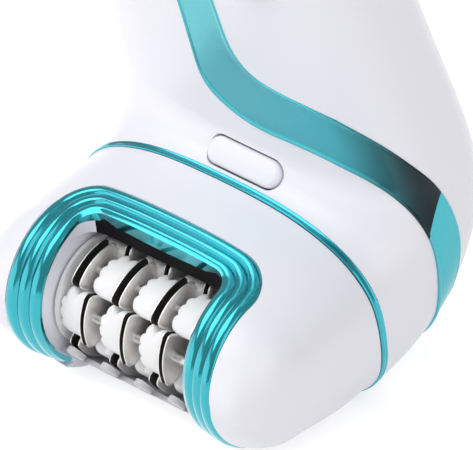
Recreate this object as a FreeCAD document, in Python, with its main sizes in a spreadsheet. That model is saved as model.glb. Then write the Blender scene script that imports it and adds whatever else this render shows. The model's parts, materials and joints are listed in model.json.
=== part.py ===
import FreeCAD, Part
import math
import os
from FreeCAD import Placement, Rotation, Vector

# Handheld epilator, standing on the flat of its heel with the grip pointing up.
# +X is the user's right when the roller faces away from the grip, -Y is where the roller points,
# +Z is up along the grip. The origin is on the flat under the heel. All sizes are in millimetres.

doc = FreeCAD.newDocument("epilator")
sheet = doc.addObject("Spreadsheet::Sheet", "Sizes")
SIZES = [
    ("split_place", -5.5, "Y of the plane where the head meets the body"),
    ("axis_height", 14.5, "height of the head's middle above the resting flat"),
    ("neck_half_width", 31.6, "half width of the body where the head joins"),
    ("neck_half_depth", 17.3, "half depth of the body where the head joins"),
    ("roundness", 2.6, "power of the rounded cross-section, 2 is an ellipse"),
    ("bend_angle", 100.0, "angle between the head's axis and the grip"),
    ("throat_radius", 5.3, "radius of the hollow between head and grip"),
    ("heel_radius_low", 36.0, "heel radius at the underside"),
    ("heel_radius_high", 31.4, "heel radius at the back of the grip"),
    ("waist_half_width", 33.8, "half width of the grip just above the heel"),
    ("grip_length", 93.5, "straight length of the grip above the bend"),
    ("grip_half_width", 25.6, "half width of the grip at its far end"),
    ("grip_depth", 22.6, "depth of the grip at its far end"),
    ("crown_height", 9.0, "height of the rounded end of the grip"),
    ("wall", 2.0, "wall of the body shells"),
    ("head_reach", 15.5, "distance from the split to the roller's axis"),
    ("roller_drop", 0.5, "how far the roller's axis lies below the head's middle"),
    ("nose_radius", 13.3, "distance from the roller's axis to the tip of the head's nose"),
    ("nose_fullness", 3.2, "power of the head's side outline, 2 is an ellipse"),
    ("nose_taper", 0.24, "share of its width that the head loses up to the nose"),
    ("head_wall", 2.2, "wall of the head"),
    ("mouth_half_width", 15.6, "half width of the roller opening"),
    ("mouth_back", 14.6, "distance from the split to the roller opening's back edge"),
    ("mouth_corner", 3.5, "corner radius of the roller opening"),
    ("mouth_floor", 11.7, "depth of the opening's floor below the head's middle"),
    ("lip_wall", 1.3, "wall of the lip under the roller"),
    ("lip_rise", 3.4, "how far the lip's edge stands above the opening's floor"),
    ("trim_width", 6.2, "width of the ridged trim's legs"),
    ("trim_bar", 4.3, "width of the ridged trim's cross bar"),
    ("trim_proud", 0.5, "how far the ridged trim stands above the head"),
    ("trim_depth", 0.9, "how deep the ridged trim sits in the head"),
    ("trim_corner", 7.0, "outer corner radius of the ridged trim"),
    ("ring_width", 1.3, "width of the thin ring at the split"),
    ("ring_proud", 0.25, "how far the thin ring stands above the body"),
    ("band_proud", 0.2, "how far the coloured band stands above the body"),
    ("band_depth", 0.8, "how deep the coloured band sits in the body"),
    ("seam", 0.15, "gap at every visible seam"),
    ("drum_radius", 10.0, "radius to the tips of the tweezer plates"),
    ("drum_core_radius", 4.6, "radius of the roller's core"),
    ("drum_gap", 0.5, "gap between the roller and the cheeks"),
    ("block_radius", 9.2, "radius to the outer face of the ribbed blocks"),
    ("block_length", 4.2, "length of one ribbed block along the roller"),
    ("rib_pitch", 1.3, "distance between the grooves round a ribbed block"),
    ("rib_width", 0.4, "width of the grooves round a ribbed block"),
    ("rib_depth", 0.4, "depth of the grooves round a ribbed block"),
    ("block_pitch", 8.4, "distance between the middles of neighbouring blocks"),
    ("plate_thickness", 0.45, "thickness of one tweezer plate"),
    ("pinch_gap_open", 1.0, "gap between the two plates of a pair in the open rows"),
    ("pinch_gap_shut", 0.35, "gap between the two plates of a pair in the pinching rows"),
    ("plate_seat", 0.1, "gap between a block and the plate next to it"),
    ("rows", 6, "rows of blocks round the roller"),
    ("row_turn", 110.0, "angle of the first row from straight back, in degrees"),
    ("row_shift", 1.9, "X of the middle block in the first row"),
    ("row_offset", 4.9, "how far every second row sits to the left of the first"),
    ("shaft_radius", 1.5, "radius of the roller's shaft"),
    ("running_gap", 0.05, "radial clearance of a shaft in its bearing"),
    ("gear_module", 0.8, "module of every gear"),
    ("gear_width", 3.0, "face width of every gear"),
    ("gear_place", 19.6, "X of the gear train's near side"),
    ("drum_teeth", 16, "teeth on the roller's gear"),
    ("idler_teeth", 13, "teeth on the head's intermediate gear"),
    ("drive_teeth", 14, "teeth on the body's drive gear"),
    ("pinion_teeth", 9, "teeth on the motor's pinion"),
    ("motor_radius", 8.0, "radius of the motor can"),
    ("motor_length", 30.0, "length of the motor can"),
    ("pinion_angle", 25.0, "angle of the line from the drive gear up to the motor's pinion"),
    ("tooth_share", 0.40, "tooth thickness at the pitch circle as a share of the pitch"),
    ("pin_radius", 1.0, "radius of the gear axles and of the motor's shaft"),
    ("axle_reach", 3.2, "how far the gear axles run past a gear on each side"),
    ("cell_radius", 7.1, "radius of the battery cell"),
    ("cell_length", 44.0, "length of the battery cell"),
    ("cell_place", 16.0, "distance of the battery's lower end up the grip"),
    ("board_thickness", 1.2, "thickness of the circuit board"),
    ("board_length", 62.0, "length of the circuit board"),
    ("chassis_thickness", 1.5, "thickness of the inner chassis"),
    ("chassis_length", 84.0, "length of the inner chassis"),
    ("button_length", 15.0, "length of the release button across the body"),
    ("button_width", 4.6, "width of the release button"),
    ("button_proud", 0.9, "how far the release button stands proud"),
    ("button_depth", 4.0, "depth of the release button's stem"),
    ("button_travel", 1.2, "travel of the release button"),
    ("button_gap", 0.25, "clearance around the release button"),
    ("button_angle", 49.0, "how far round the throat the release button sits"),
    ("button_offset", 1.5, "X of the release button's middle"),
    ("spring_radius", 1.6, "radius of the button's return spring"),
    ("spring_wire", 0.25, "radius of the spring's wire"),
    ("spring_length", 4.4, "length of the button's return spring"),
    ("spring_turns", 5, "turns of the button's return spring"),
    ("hook_width", 3.0, "width of the latch hook"),
    ("hook_height", 2.0, "height of the latch hook"),
    ("hook_drop", 2.8, "depth of the latch hook's top below the neck's edge"),
    ("switch_place", 44.0, "distance of the speed switch up the grip"),
    ("switch_offset", 11.0, "X of the speed switch and the light"),
    ("switch_length", 10.0, "length of the speed switch's cap"),
    ("switch_width", 7.0, "width of the speed switch's cap"),
    ("switch_proud", 1.4, "how far the speed switch stands proud"),
    ("light_place", 62.0, "distance of the indicator light up the grip"),
    ("light_proud", 0.2, "how far the indicator light stands proud"),
    ("light_radius", 1.3, "radius of the indicator light"),
    ("switch_travel", 3.0, "travel of the speed switch either way"),
    ("jack_radius", 1.75, "bore radius of the charging socket"),
    ("jack_body_radius", 3.6, "outer radius of the charging socket"),
    ("jack_floor", 1.0, "thickness of the charging socket's closed end"),
    ("jack_length", 10.0, "length of the charging socket"),
    ("screw_radius", 1.1, "shank radius of the screws"),
    ("screw_head_radius", 2.0, "head radius of the screws"),
    ("screw_head_height", 1.2, "head height of the screws"),
    ("screw_length", 8.0, "length of the screws under the head"),
    ("screw_hole_gap", 0.1, "clearance of the screws in their holes"),
    ("shell_screw_low", 12.0, "distance of the lower shell screws up the grip"),
    ("shell_screw_high", 76.0, "distance of the upper shell screws up the grip"),
    ("shell_screw_offset", 17.0, "X of the shell screws, on both sides"),
    ("boss_radius", 3.0, "radius of the screw bosses"),
    ("plate_thickness_neck", 2.0, "thickness of the neck plate and of the head's base plate"),
    ("frame_thickness", 3.1, "thickness of the frame that carries the motor and the drive gear"),
    ("fit_gap", 0.1, "clearance of a plate inside a shell"),
    ("gear_room", 0.7, "clearance around the gears in their chamber"),
    ("cavity_gap", 1.0, "clearance between the roller and the head around it"),
    ("block_sweep", 52.0, "angle that one ribbed block covers"),
    ("plate_sweep", 64.0, "angle that one tweezer plate covers"),
    ("rod_radius", 0.8, "radius of the rods that push the plates together"),
    ("rod_place", 7.0, "distance of the push rods from the roller's axis"),
    ("disc_thickness", 0.6, "thickness of the roller's end discs"),
    ("bushing_wall", 0.8, "wall of the shaft bushings"),
    ("bushing_length", 3.0, "length of the shaft bushings"),
]
for row, (alias, value, note) in enumerate(SIZES, start=1):
    sheet.set(f"A{row}", alias)
    sheet.set(f"B{row}", str(value))
    sheet.setAlias(f"B{row}", alias)
    sheet.set(f"C{row}", note)
doc.recompute()


def size(alias):
    return float(sheet.get(alias))


SPLIT = size("split_place")
AXIS = size("axis_height")
WALL = size("wall")
SEAM = size("seam")
SECTION_POINTS = 14      # steps round half of a rounded cross-section
FAR = 200.0              # longer than the whole product
LEAD = 4.0               # how far the outer forms run past the split before they are trimmed there

nodes = {}


def solid_node(name, shape):
    """A sub-part whose shape is worked out from the sheet's sizes."""
    feature = doc.addObject("Part::Feature", name)
    feature.Label = name
    feature.Shape = shape
    nodes[name] = feature
    return feature


def bar(label, place, way, radius, length):
    """Round bar from a place along a direction; its radius and length are rules on the sheet's cells."""
    item = doc.addObject("Part::Cylinder", label)
    item.setExpression("Radius", radius)
    item.setExpression("Height", length)
    item.Placement = Placement(place, Rotation(Vector(0, 0, 1), way))
    return item


def drilled(label, base, tool):
    item = doc.addObject("Part::Cut", label)
    item.Base, item.Tool = base, tool
    return item


def grouped(label, items):
    item = doc.addObject("Part::Compound", label)
    item.Links = items
    return item


def bound_node(name, item):
    """A sub-part whose own object is bound to the sheet."""
    doc.recompute()
    item.Label = name
    nodes[name] = item
    return item


ALONG = Vector(1, 0, 0)


def signed_power(value, power):
    return math.copysign(abs(value) ** power, value)


def box(x0, x1, y0, y1, z0, z1):
    return Part.makeBox(x1 - x0, y1 - y0, z1 - z0, Vector(x0, y0, z0))


def rod(x0, x1, y, z, radius):
    """A round bar along X."""
    return Part.makeCylinder(radius, x1 - x0, Vector(x0, y, z), Vector(1, 0, 0))


def half_section(inner, outer, half_width, power, side):
    """Right or left half of a rounded outline, in the plane through X and the line inner to outer."""
    middle = (inner + outer) / 2
    arm = (inner - outer) / 2
    points = []
    for i in range(SECTION_POINTS + 1):
        turn = math.pi * (0.5 - i / SECTION_POINTS)
        across = side * half_width * signed_power(math.cos(turn), 2 / power) if 0 < i < SECTION_POINTS else 0
        points.append(middle + Vector(across, 0, 0) + arm * signed_power(math.sin(turn), 2 / power))
    knots = [i / SECTION_POINTS for i in range(SECTION_POINTS + 1)]
    curve = Part.BSplineCurve()
    curve.interpolate(Points=points, Parameters=knots, InitialTangent=Vector(side, 0, 0),
                      FinalTangent=Vector(-side, 0, 0))
    return curve.toShape()


def skin_solid(stations):
    """Closed smooth solid through the stations: inner point, outer point, half width and power of each."""
    faces = []
    ends = {}
    for side in (1, -1):
        edges = [half_section(*station, side) for station in stations]
        faces += Part.makeLoft([Part.Wire([edge]) for edge in edges], False, False).Faces
        ends[side] = (edges[0], edges[-1])
    for end in (0, 1):
        faces.append(Part.Face(Part.Wire([ends[1][end], ends[-1][end]])))
    shell = Part.makeShell(faces)
    shell.sewShape()
    solid = Part.makeSolid(shell)
    if solid.Volume < 0:
        solid.reverse()
    return solid


def body_stations(grow):
    """Inner point, outer point and half width of each section from the split to the grip's end."""
    bend = size("bend_angle")
    throat, low, high = size("throat_radius"), size("heel_radius_low"), size("heel_radius_high")
    throat_middle = Vector(0, SPLIT, AXIS + size("neck_half_depth") + throat)
    heel_middle = Vector(0, SPLIT, AXIS - size("neck_half_depth") + low)
    lead = Vector(0, -LEAD + grow, 0)
    neck = Vector(0, 0, size("neck_half_depth"))
    neck_middle = Vector(0, SPLIT, AXIS)
    stations = [(neck_middle + neck + lead, neck_middle - neck + lead, size("neck_half_width"))]
    steps = 8
    for i in range(steps + 1):
        share = i / steps
        angle = math.radians(bend * share)
        toward = Vector(0, math.sin(angle), -math.cos(angle))
        inner = throat_middle + toward * throat
        outer = heel_middle + toward * (low + (high - low) * share)
        width = size("neck_half_width") + (size("waist_half_width") - size("neck_half_width")) * share
        stations.append((inner, outer, width))
    up = Vector(0, math.cos(math.radians(bend)), math.sin(math.radians(bend)))
    front, back = stations[-1][0], stations[-1][1]
    middle_end = (front + back) / 2 + up * size("grip_length")
    back_way = Vector(0, up.z, -up.y)
    steps = 5
    for i in range(1, steps + 1):
        share = i / steps
        inner = front + (middle_end - back_way * (size("grip_depth") / 2) - front) * share
        outer = back + (middle_end + back_way * (size("grip_depth") / 2) - back) * share
        width = size("waist_half_width") + (size("grip_half_width") - size("waist_half_width")) * share
        stations.append((inner, outer, width))
    for angle in (25, 45, 62, 76):
        shrink = math.cos(math.radians(angle))
        rise = up * ((size("crown_height") + grow) * math.sin(math.radians(angle)))
        half = back_way * (size("grip_depth") / 2 * shrink)
        width = size("grip_half_width") * (0.25 + 0.75 * shrink)
        stations.append((middle_end + rise - half, middle_end + rise + half, width))
    return stations


def body_solid(grow):
    """The whole body's outside, moved outwards by grow."""
    stations = []
    for inner, outer, width in body_stations(grow):
        way = (inner - outer).normalize()
        stations.append((inner + way * grow, outer - way * grow, width + grow, size("roundness")))
    return skin_solid(stations)


def head_solid(grow):
    """The head's outside, moved outwards by grow, from the split to the nose."""
    depth, width = size("neck_half_depth") + grow, size("neck_half_width") + grow
    reach_out = size("head_reach") + size("nose_radius") + grow
    stations = [(Vector(0, SPLIT + LEAD - grow, AXIS + depth), Vector(0, SPLIT + LEAD - grow, AXIS - depth),
                 width, size("roundness"))]
    for share in (0, 0.19, 0.37, 0.53, 0.67, 0.78, 0.87, 0.935, 0.975, 0.995):
        half = depth * math.sqrt(1 - share ** size("nose_fullness"))
        place = SPLIT - reach_out * share
        lean = max(0, (reach_out * share - size("head_reach")) / (size("nose_radius") + grow))
        taper = 1 - size("nose_taper") * (1 - math.sqrt(1 - lean ** 2))
        stations.append((Vector(0, place, AXIS + half), Vector(0, place, AXIS - half),
                         width * taper, size("roundness") + lean))
    return skin_solid(stations)


below_floor = box(-FAR, FAR, -FAR, FAR, -FAR, 0)
CHEEK = size("mouth_half_width")
NECK_BACK = SPLIT + size("ring_width")
SLAB = size("plate_thickness_neck")
GEAR_NEAR = size("gear_place")
GEAR_FAR = GEAR_NEAR + size("gear_width")
DRUM_Y = SPLIT - size("head_reach")
DRUM_Z = AXIS - size("roller_drop")
THROAT_LEVEL = AXIS + size("neck_half_depth")

# The grip's own directions: "up" runs along its middle and "out" leaves its front face.
STATIONS = body_stations(0)
GRIP_START = 9
GRIP_END = 14
GRIP_LOW = (STATIONS[GRIP_START][0] + STATIONS[GRIP_START][1]) / 2
GRIP_HIGH = (STATIONS[GRIP_END][0] + STATIONS[GRIP_END][1]) / 2
UP = (GRIP_HIGH - GRIP_LOW).normalize()
OUT = Vector(1, 0, 0).cross(UP)


def grip_frame(along=0.0):
    """Placement whose X is X, Y runs up the grip and Z leaves its front, on the grip's middle line."""
    return Placement(GRIP_LOW + UP * along, Rotation(Vector(1, 0, 0), UP, OUT, "XYZ"))


def placed(shape, placement):
    copy = shape.copy()
    copy.Placement = placement.multiply(copy.Placement)
    return copy


def reach(solid, start, way):
    """Distance from a point inside a solid to its surface along a direction."""
    ray = Part.makeLine(start, start + way * FAR)
    hits = [start.distanceToPoint(vertex.Point) for vertex in solid.Shells[0].section(ray).Vertexes]
    return min(hits)


def rounded_plate(length, width, low, high, corner):
    """Plate with rounded corners around the local origin, from low to high along Z."""
    plate = box(-length / 2, length / 2, -width / 2, width / 2, low, high)
    upright = [edge for edge in plate.Edges if abs(edge.tangentAt(edge.FirstParameter).z) > 0.99]
    return plate.makeFillet(corner, upright)


# ---------------------------------------------------------------- outer forms
body_outside = body_solid(0).cut(below_floor)
body_inside = body_solid(-WALL).cut(box(-FAR, FAR, -FAR, FAR, -FAR, WALL))
head_outside = head_solid(0).cut(below_floor)
neck_top = THROAT_LEVEL + size("throat_radius") / 2
before_neck = box(-FAR, FAR, -FAR, NECK_BACK, -FAR, neck_top)
neck_ring = box(-FAR, FAR, SPLIT, NECK_BACK, -FAR, neck_top)
neck_slab = box(-FAR, FAR, NECK_BACK, NECK_BACK + SLAB, -FAR, neck_top)

# The seam between front and back shell follows the middle of every cross-section.
seam_points = [(inner + outer) / 2 for inner, outer, width in STATIONS[:GRIP_END + 1]]
seam_line = Part.BSplineCurve()
seam_line.interpolate(seam_points)
seam_top = seam_points[-1] + UP * FAR
corner_top = Vector(0, -FAR, seam_top.z)
corner_low = Vector(0, -FAR, seam_points[0].z)
front_edges = [
    seam_line.toShape(),
    Part.makeLine(seam_points[-1], seam_top),
    Part.makeLine(seam_top, corner_top),
    Part.makeLine(corner_top, corner_low),
    Part.makeLine(corner_low, seam_points[0]),
]
front_half = Part.Face(Part.Wire(front_edges)).extrude(Vector(2 * FAR, 0, 0))
front_half.translate(Vector(-FAR, 0, 0))

# ---------------------------------------------------------------- coloured band
# Its edges as seen from the front (X, Z) up to the right flank, and from the side (Y, Z) round the flank.
BAND_FLANK = 22.0
BAND_LOWER = [(-16, 140), (-14.5, 128), (-9.5, 105), (-6.6, 80), (-5.9, 62), (-5.8, 52), (-4.9, 46.5), (-1.5, 43.4),
              (4, 41.6), (12, 41.3), (18, 40.6), (22, 39.4)]
BAND_UPPER = [(22, 50.2), (16, 51.6), (10, 52.6), (6, 54.2), (3.8, 57.4), (2.9, 63), (1.6, 80), (-2.6, 105),
              (-9.5, 128), (-11, 140)]
FLANK_FRONT = [(1.4, 39.4), (3.4, 36.6), (4.9, 33.6), (6.2, 29.6), (7.2, 24), (7.3, 17), (6.8, 9), (6.0, 3)]
FLANK_BACK = [(9.0, 3), (11.0, 10), (12.3, 18), (12.6, 24), (11.0, 31.5), (8.4, 37.4), (5.4, 42.2), (2.6, 46.4),
              (-0.3, 50.2)]


def outline_face(first, second, spread):
    """Face between two smooth edges, whose points are turned into space by spread."""
    curves = []
    for points in (first, second):
        curve = Part.BSplineCurve()
        curve.interpolate([spread(*point) for point in points])
        curves.append(curve.toShape())
    ends = [Part.makeLine(spread(*first[-1]), spread(*second[0])),
            Part.makeLine(spread(*second[-1]), spread(*first[0]))]
    return Part.Face(Part.Wire([curves[0], ends[0], curves[1], ends[1]]))


band_front = outline_face(BAND_LOWER, BAND_UPPER, lambda x, z: Vector(x, -FAR, z))
band_front = band_front.extrude(Vector(0, FAR + SPLIT + size("heel_radius_high") / 2, 0)).common(front_half)
band_side = outline_face(FLANK_FRONT, FLANK_BACK, lambda y, z: Vector(BAND_FLANK, y, z))
band_side = band_side.extrude(Vector(FAR, 0, 0))
band_region = band_front.fuse(band_side)
band_floor = body_solid(-size("band_depth"))
band_skin = body_solid(size("band_proud")).cut(band_floor).cut(below_floor)
band = band_skin.common(band_region).cut(before_neck)
band_groove = body_solid(size("band_proud") + WALL).cut(band_floor).common(band_region)

# ---------------------------------------------------------------- shells and end cap
crown = placed(box(-FAR, FAR, SEAM, FAR, -FAR, FAR), grip_frame((GRIP_HIGH - GRIP_LOW).Length))
crown_tool = placed(box(-FAR, FAR, 0, FAR, -FAR, FAR), grip_frame((GRIP_HIGH - GRIP_LOW).Length))
hollow = body_outside.cut(body_inside).cut(before_neck)
shell = hollow.cut(crown_tool).cut(band_groove)
front_shell = shell.common(front_half)
back_shell = shell.cut(front_half)
end_cap = hollow.common(crown)
band = band.cut(crown_tool)

# Bosses and screws that hold the shells together, driven from the back of the grip.
screw_shank, screw_head = size("screw_radius"), size("screw_head_radius")
head_height, screw_length = size("screw_head_height"), size("screw_length")
hole_gap = size("screw_hole_gap")
shell_screws = []
bosses = []
for along in (size("shell_screw_low"), size("shell_screw_high")):
    for side in (-1, 1):
        foot = GRIP_LOW + UP * along + Vector(side * size("shell_screw_offset"), 0, 0)
        inner_back = reach(body_inside, foot, OUT * -1)
        frame = Placement(foot, Rotation(Vector(1, 0, 0), UP, OUT, "XYZ"))
        seat = -inner_back - WALL / 2
        column = Part.makeCylinder(size("boss_radius"), FAR, Vector(0, 0, -inner_back + size("fit_gap")))
        column = placed(column, frame)
        root = column.common(front_half).common(body_solid(-WALL / 2))
        bosses.append(column.common(body_solid(-WALL - size("fit_gap"))).fuse(root))
        bore = Part.makeCylinder(screw_shank + hole_gap, screw_length + hole_gap, Vector(0, 0, seat))
        sink = Part.makeCylinder(screw_head + hole_gap, FAR, Vector(0, 0, seat - FAR))
        shank = Part.makeCylinder(screw_shank, screw_length, Vector(0, 0, seat))
        cap = Part.makeCylinder(screw_head, head_height, Vector(0, 0, seat - head_height))
        slot = Part.makeBox(2 * screw_head, 0.5, 0.5, Vector(-screw_head, -0.25, seat - head_height))
        shell_screws.append(placed(shank.fuse(cap).cut(slot), frame))
        bosses[-1] = bosses[-1].cut(placed(bore, frame))
        back_shell = back_shell.cut(placed(bore.fuse(sink), frame))
for boss in bosses:
    front_shell = front_shell.fuse(boss)
boss_holes = []
for along in (size("shell_screw_low"), size("shell_screw_high")):
    for side in (-1, 1):
        foot = GRIP_LOW + UP * along + Vector(side * size("shell_screw_offset"), 0, 0)
        hole = Part.makeCylinder(size("boss_radius") + size("fit_gap"), FAR, Vector(0, 0, -FAR / 2))
        boss_holes.append(placed(hole, Placement(foot, Rotation(Vector(1, 0, 0), UP, OUT, "XYZ"))))

# ---------------------------------------------------------------- release button and latch
angle = math.radians(size("button_angle"))
throat = size("throat_radius")
button_out = Vector(0, -math.sin(angle), math.cos(angle))
button_middle = Vector(size("button_offset"), SPLIT, THROAT_LEVEL + throat) - button_out * throat
button_frame = Placement(button_middle, Rotation(Vector(1, 0, 0), Vector(), button_out, "XZY"))
length, width = size("button_length"), size("button_width")
gap = size("button_gap")
stem_low = -size("button_depth")
button_cap = rounded_plate(length, width, stem_low, size("button_proud"), width / 2 - 0.1)
button_cap = button_cap.makeFillet(0.5, [edge for edge in button_cap.Edges
                                         if edge.CenterOfMass.z > size("button_proud") - 0.01])
button_hole = rounded_plate(length + 2 * gap, width + 2 * gap, -2 * WALL, FAR / 10, width / 2)
front_shell = front_shell.cut(placed(button_hole, button_frame))
release_button = placed(button_cap, button_frame)

hook_top = THROAT_LEVEL - size("hook_drop") - WALL
hook_low = hook_top - size("hook_height")
hook_x = size("button_offset") - size("button_length") / 4 - size("hook_width") / 2
above_stem = placed(box(-FAR, FAR, -FAR, FAR, stem_low, FAR), button_frame)
stem_foot = button_middle + button_out * stem_low
hook_arm = box(hook_x, hook_x + size("hook_width"), SPLIT - SLAB, stem_foot.y + width / 4, hook_low, hook_top)
hook_post = box(hook_x, hook_x + size("hook_width"), stem_foot.y - width / 4, stem_foot.y + width / 4,
                hook_low, stem_foot.z + width)
latch_hook = hook_arm.fuse(hook_post.cut(above_stem)).removeSplitter()
travel = size("button_travel")
latch_window = box(hook_x - gap, hook_x + size("hook_width") + gap, SPLIT - 3 * SLAB, SPLIT + 3 * SLAB,
                   hook_low - travel - gap, hook_top + gap)

spring_x = size("button_length") / 4
spring_wire = size("spring_wire")
coil_height = size("spring_length") - 2 * spring_wire
coil_radius = size("spring_radius") - spring_wire
COIL_STEPS = 12          # points per turn of the spring's wire
coil_points = []
for i in range(int(size("spring_turns")) * COIL_STEPS + 1):
    turn = 2 * math.pi * i / COIL_STEPS
    rise = coil_height * i / (size("spring_turns") * COIL_STEPS)
    coil_points.append(Vector(coil_radius * math.cos(turn), coil_radius * math.sin(turn), rise))
coil_line = Part.BSplineCurve()
coil_line.interpolate(coil_points)
wire_way = coil_line.tangent(coil_line.FirstParameter)[0]
wire_face = Part.Wire([Part.makeCircle(spring_wire, coil_points[0], wire_way)])
spring = Part.Wire([coil_line.toShape()]).makePipeShell([wire_face], True, True)
spring.translate(Vector(spring_x, 0, stem_low - size("spring_length") + spring_wire))
button_spring = placed(spring, button_frame)

seat_low = stem_low - size("spring_length")
above_seat = placed(box(-FAR, FAR, -FAR, FAR, seat_low, FAR), button_frame)
seat_x = size("button_offset") + spring_x
seat_half = size("spring_radius") + 0.6
seat_back = button_middle.y - button_out.y * -seat_low + 2 * size("spring_radius")
button_seat_block = box(seat_x - seat_half, seat_x + seat_half, NECK_BACK + SLAB, seat_back,
                        AXIS + size("neck_half_depth") / 3, THROAT_LEVEL).cut(above_seat)

# ---------------------------------------------------------------- gears
MODULE = size("gear_module")
ADDENDUM = 0.8 * MODULE
DEDENDUM = 1.1 * MODULE


def gear(teeth, phase, x0, x1, y, z, bore):
    """Spur gear along X whose first tooth points along phase, in radians from +Y towards +Z."""
    pitch_radius = teeth * MODULE / 2
    pitch_angle = 2 * math.pi / teeth
    half = pitch_angle * size("tooth_share") / 2
    root, tip = pitch_radius - DEDENDUM, pitch_radius + ADDENDUM
    profile = ((-1.35 * half, root), (-half, pitch_radius), (-0.5 * half, tip),
               (0.5 * half, tip), (half, pitch_radius), (1.35 * half, root))
    points = []
    for tooth in range(teeth):
        middle = phase + tooth * pitch_angle
        for turn, radius in profile:
            points.append(Vector(x0, y + radius * math.cos(middle + turn), z + radius * math.sin(middle + turn)))
    points.append(points[0])
    blank = Part.Face(Part.makePolygon(points)).extrude(Vector(x1 - x0, 0, 0))
    return blank.cut(rod(x0 - 1, x1 + 1, y, z, bore))


def mesh_phase(teeth, phase, line, mate_teeth):
    """Phase of a mating gear that sits along line, an angle, from a gear of known phase."""
    pitch_angle = 2 * math.pi / teeth
    mate_pitch = 2 * math.pi / mate_teeth
    share = ((line - phase) / pitch_angle) % 1
    return line + math.pi + (share + 0.5) * mate_pitch


teeth_drum, teeth_idler = int(size("drum_teeth")), int(size("idler_teeth"))
teeth_drive, teeth_pinion = int(size("drive_teeth")), int(size("pinion_teeth"))
IDLER_Y = DRUM_Y + (teeth_drum + teeth_idler) * MODULE / 2
DRIVE_Y = IDLER_Y + (teeth_idler + teeth_drive) * MODULE / 2
pinion_line = math.radians(size("pinion_angle"))
pinion_span = (teeth_drive + teeth_pinion) * MODULE / 2
MOTOR_Y = DRIVE_Y + pinion_span * math.cos(pinion_line)
MOTOR_Z = DRUM_Z + pinion_span * math.sin(pinion_line)
phase_idler = mesh_phase(teeth_drum, 0, 0, teeth_idler)
phase_drive = mesh_phase(teeth_idler, phase_idler, 0, teeth_drive)
phase_pinion = mesh_phase(teeth_drive, phase_drive, pinion_line, teeth_pinion)
shaft, pin, running = size("shaft_radius"), size("pin_radius"), size("running_gap")
drum_gear = gear(teeth_drum, 0, GEAR_NEAR, GEAR_FAR, DRUM_Y, DRUM_Z, shaft)
idler_gear = gear(teeth_idler, phase_idler, GEAR_NEAR, GEAR_FAR, IDLER_Y, DRUM_Z, pin + running)
drive_gear = gear(teeth_drive, phase_drive, GEAR_NEAR, GEAR_FAR, DRIVE_Y, DRUM_Z, pin + running)
motor_pinion = gear(teeth_pinion, phase_pinion, GEAR_NEAR, GEAR_FAR, MOTOR_Y, MOTOR_Z, pin)


def tip_radius(teeth):
    return teeth * MODULE / 2 + ADDENDUM


# ---------------------------------------------------------------- head
room = size("gear_room")
chamber_near, chamber_far = GEAR_NEAR - room, GEAR_FAR + room
mouth_back = SPLIT - size("mouth_back")
cavity_radius = size("drum_radius") + size("cavity_gap")
mouth = box(-CHEEK, CHEEK, -FAR, mouth_back, AXIS - size("mouth_floor"), FAR)
back_corners = [edge for edge in mouth.Edges
                if abs(edge.tangentAt(edge.FirstParameter).z) > 0.99 and edge.CenterOfMass.y > mouth_back - 1]
mouth = mouth.makeFillet(size("mouth_corner"), back_corners)

cavity = rod(-CHEEK, CHEEK, DRUM_Y, DRUM_Z, cavity_radius)
trim_outer = box(-CHEEK - size("trim_width"), CHEEK + size("trim_width"), -FAR, mouth_back + size("trim_bar"),
                 AXIS - size("mouth_floor"), FAR)
trim_corners = [edge for edge in trim_outer.Edges
                if abs(edge.tangentAt(edge.FirstParameter).z) > 0.99
                and edge.CenterOfMass.y > mouth_back + size("trim_bar") - 1]
trim_outer = trim_outer.makeFillet(size("trim_corner"), trim_corners)
trim_region = trim_outer.cut(mouth)
trim_floor = head_solid(-size("trim_depth"))
roller_frame = head_solid(size("trim_proud")).common(trim_region).cut(trim_floor)
roller_frame = max(roller_frame.Solids, key=lambda piece: piece.Volume)
trim_groove = head_solid(size("trim_proud") + 1).common(trim_region).cut(trim_floor)

plate_back = SPLIT - SEAM
plate_front = SPLIT - SEAM - SLAB
head_block = head_outside.cut(box(-FAR, FAR, plate_back, FAR, -FAR, FAR)).cut(trim_groove)
recess = head_solid(-size("head_wall")).common(box(-FAR, FAR, plate_front, FAR, size("head_wall"), FAR))
chamber = rod(chamber_near, chamber_far, DRUM_Y, DRUM_Z, tip_radius(teeth_drum) + room)
chamber = chamber.fuse(rod(chamber_near, chamber_far, IDLER_Y, DRUM_Z, tip_radius(teeth_idler) + room))
idler_reach = tip_radius(teeth_idler) + room
chamber = chamber.fuse(box(chamber_near, chamber_far, DRUM_Y, FAR / 10, DRUM_Z - idler_reach, DRUM_Z + idler_reach))
bushing_radius = shaft + running + size("bushing_wall")
bushing_length = size("bushing_length")
shaft_left, shaft_right = -CHEEK - bushing_length, chamber_far + bushing_length
shaft_hole = rod(shaft_left, shaft_right, DRUM_Y, DRUM_Z, shaft + running + hole_gap)
bushing_pockets = [rod(-CHEEK - bushing_length, -CHEEK, DRUM_Y, DRUM_Z, bushing_radius),
                   rod(CHEEK, chamber_near, DRUM_Y, DRUM_Z, bushing_radius)]
axle_low, axle_high = chamber_near - size("axle_reach") / 2, chamber_far + size("axle_reach")
idler_axle = bar("idler_axle", Vector(axle_low, IDLER_Y, DRUM_Z), ALONG, "Sizes.pin_radius",
                 "Sizes.gear_width + 2 * Sizes.gear_room + 1.5 * Sizes.axle_reach")
bound_node("idler_axle", idler_axle)
idler_hole = idler_axle.Shape
mouth_floor = AXIS - size("mouth_floor")
lip_outside = rod(-CHEEK, CHEEK, DRUM_Y, DRUM_Z, cavity_radius + size("lip_wall"))
undercut = box(-CHEEK, CHEEK, -FAR, DRUM_Y, -FAR, mouth_floor + SEAM).cut(lip_outside)
lip_span = box(-CHEEK, CHEEK, -FAR, DRUM_Y, -FAR, mouth_floor + size("lip_rise"))
lip = lip_outside.common(lip_span).cut(rod(-FAR, FAR, DRUM_Y, DRUM_Z, cavity_radius))
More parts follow.
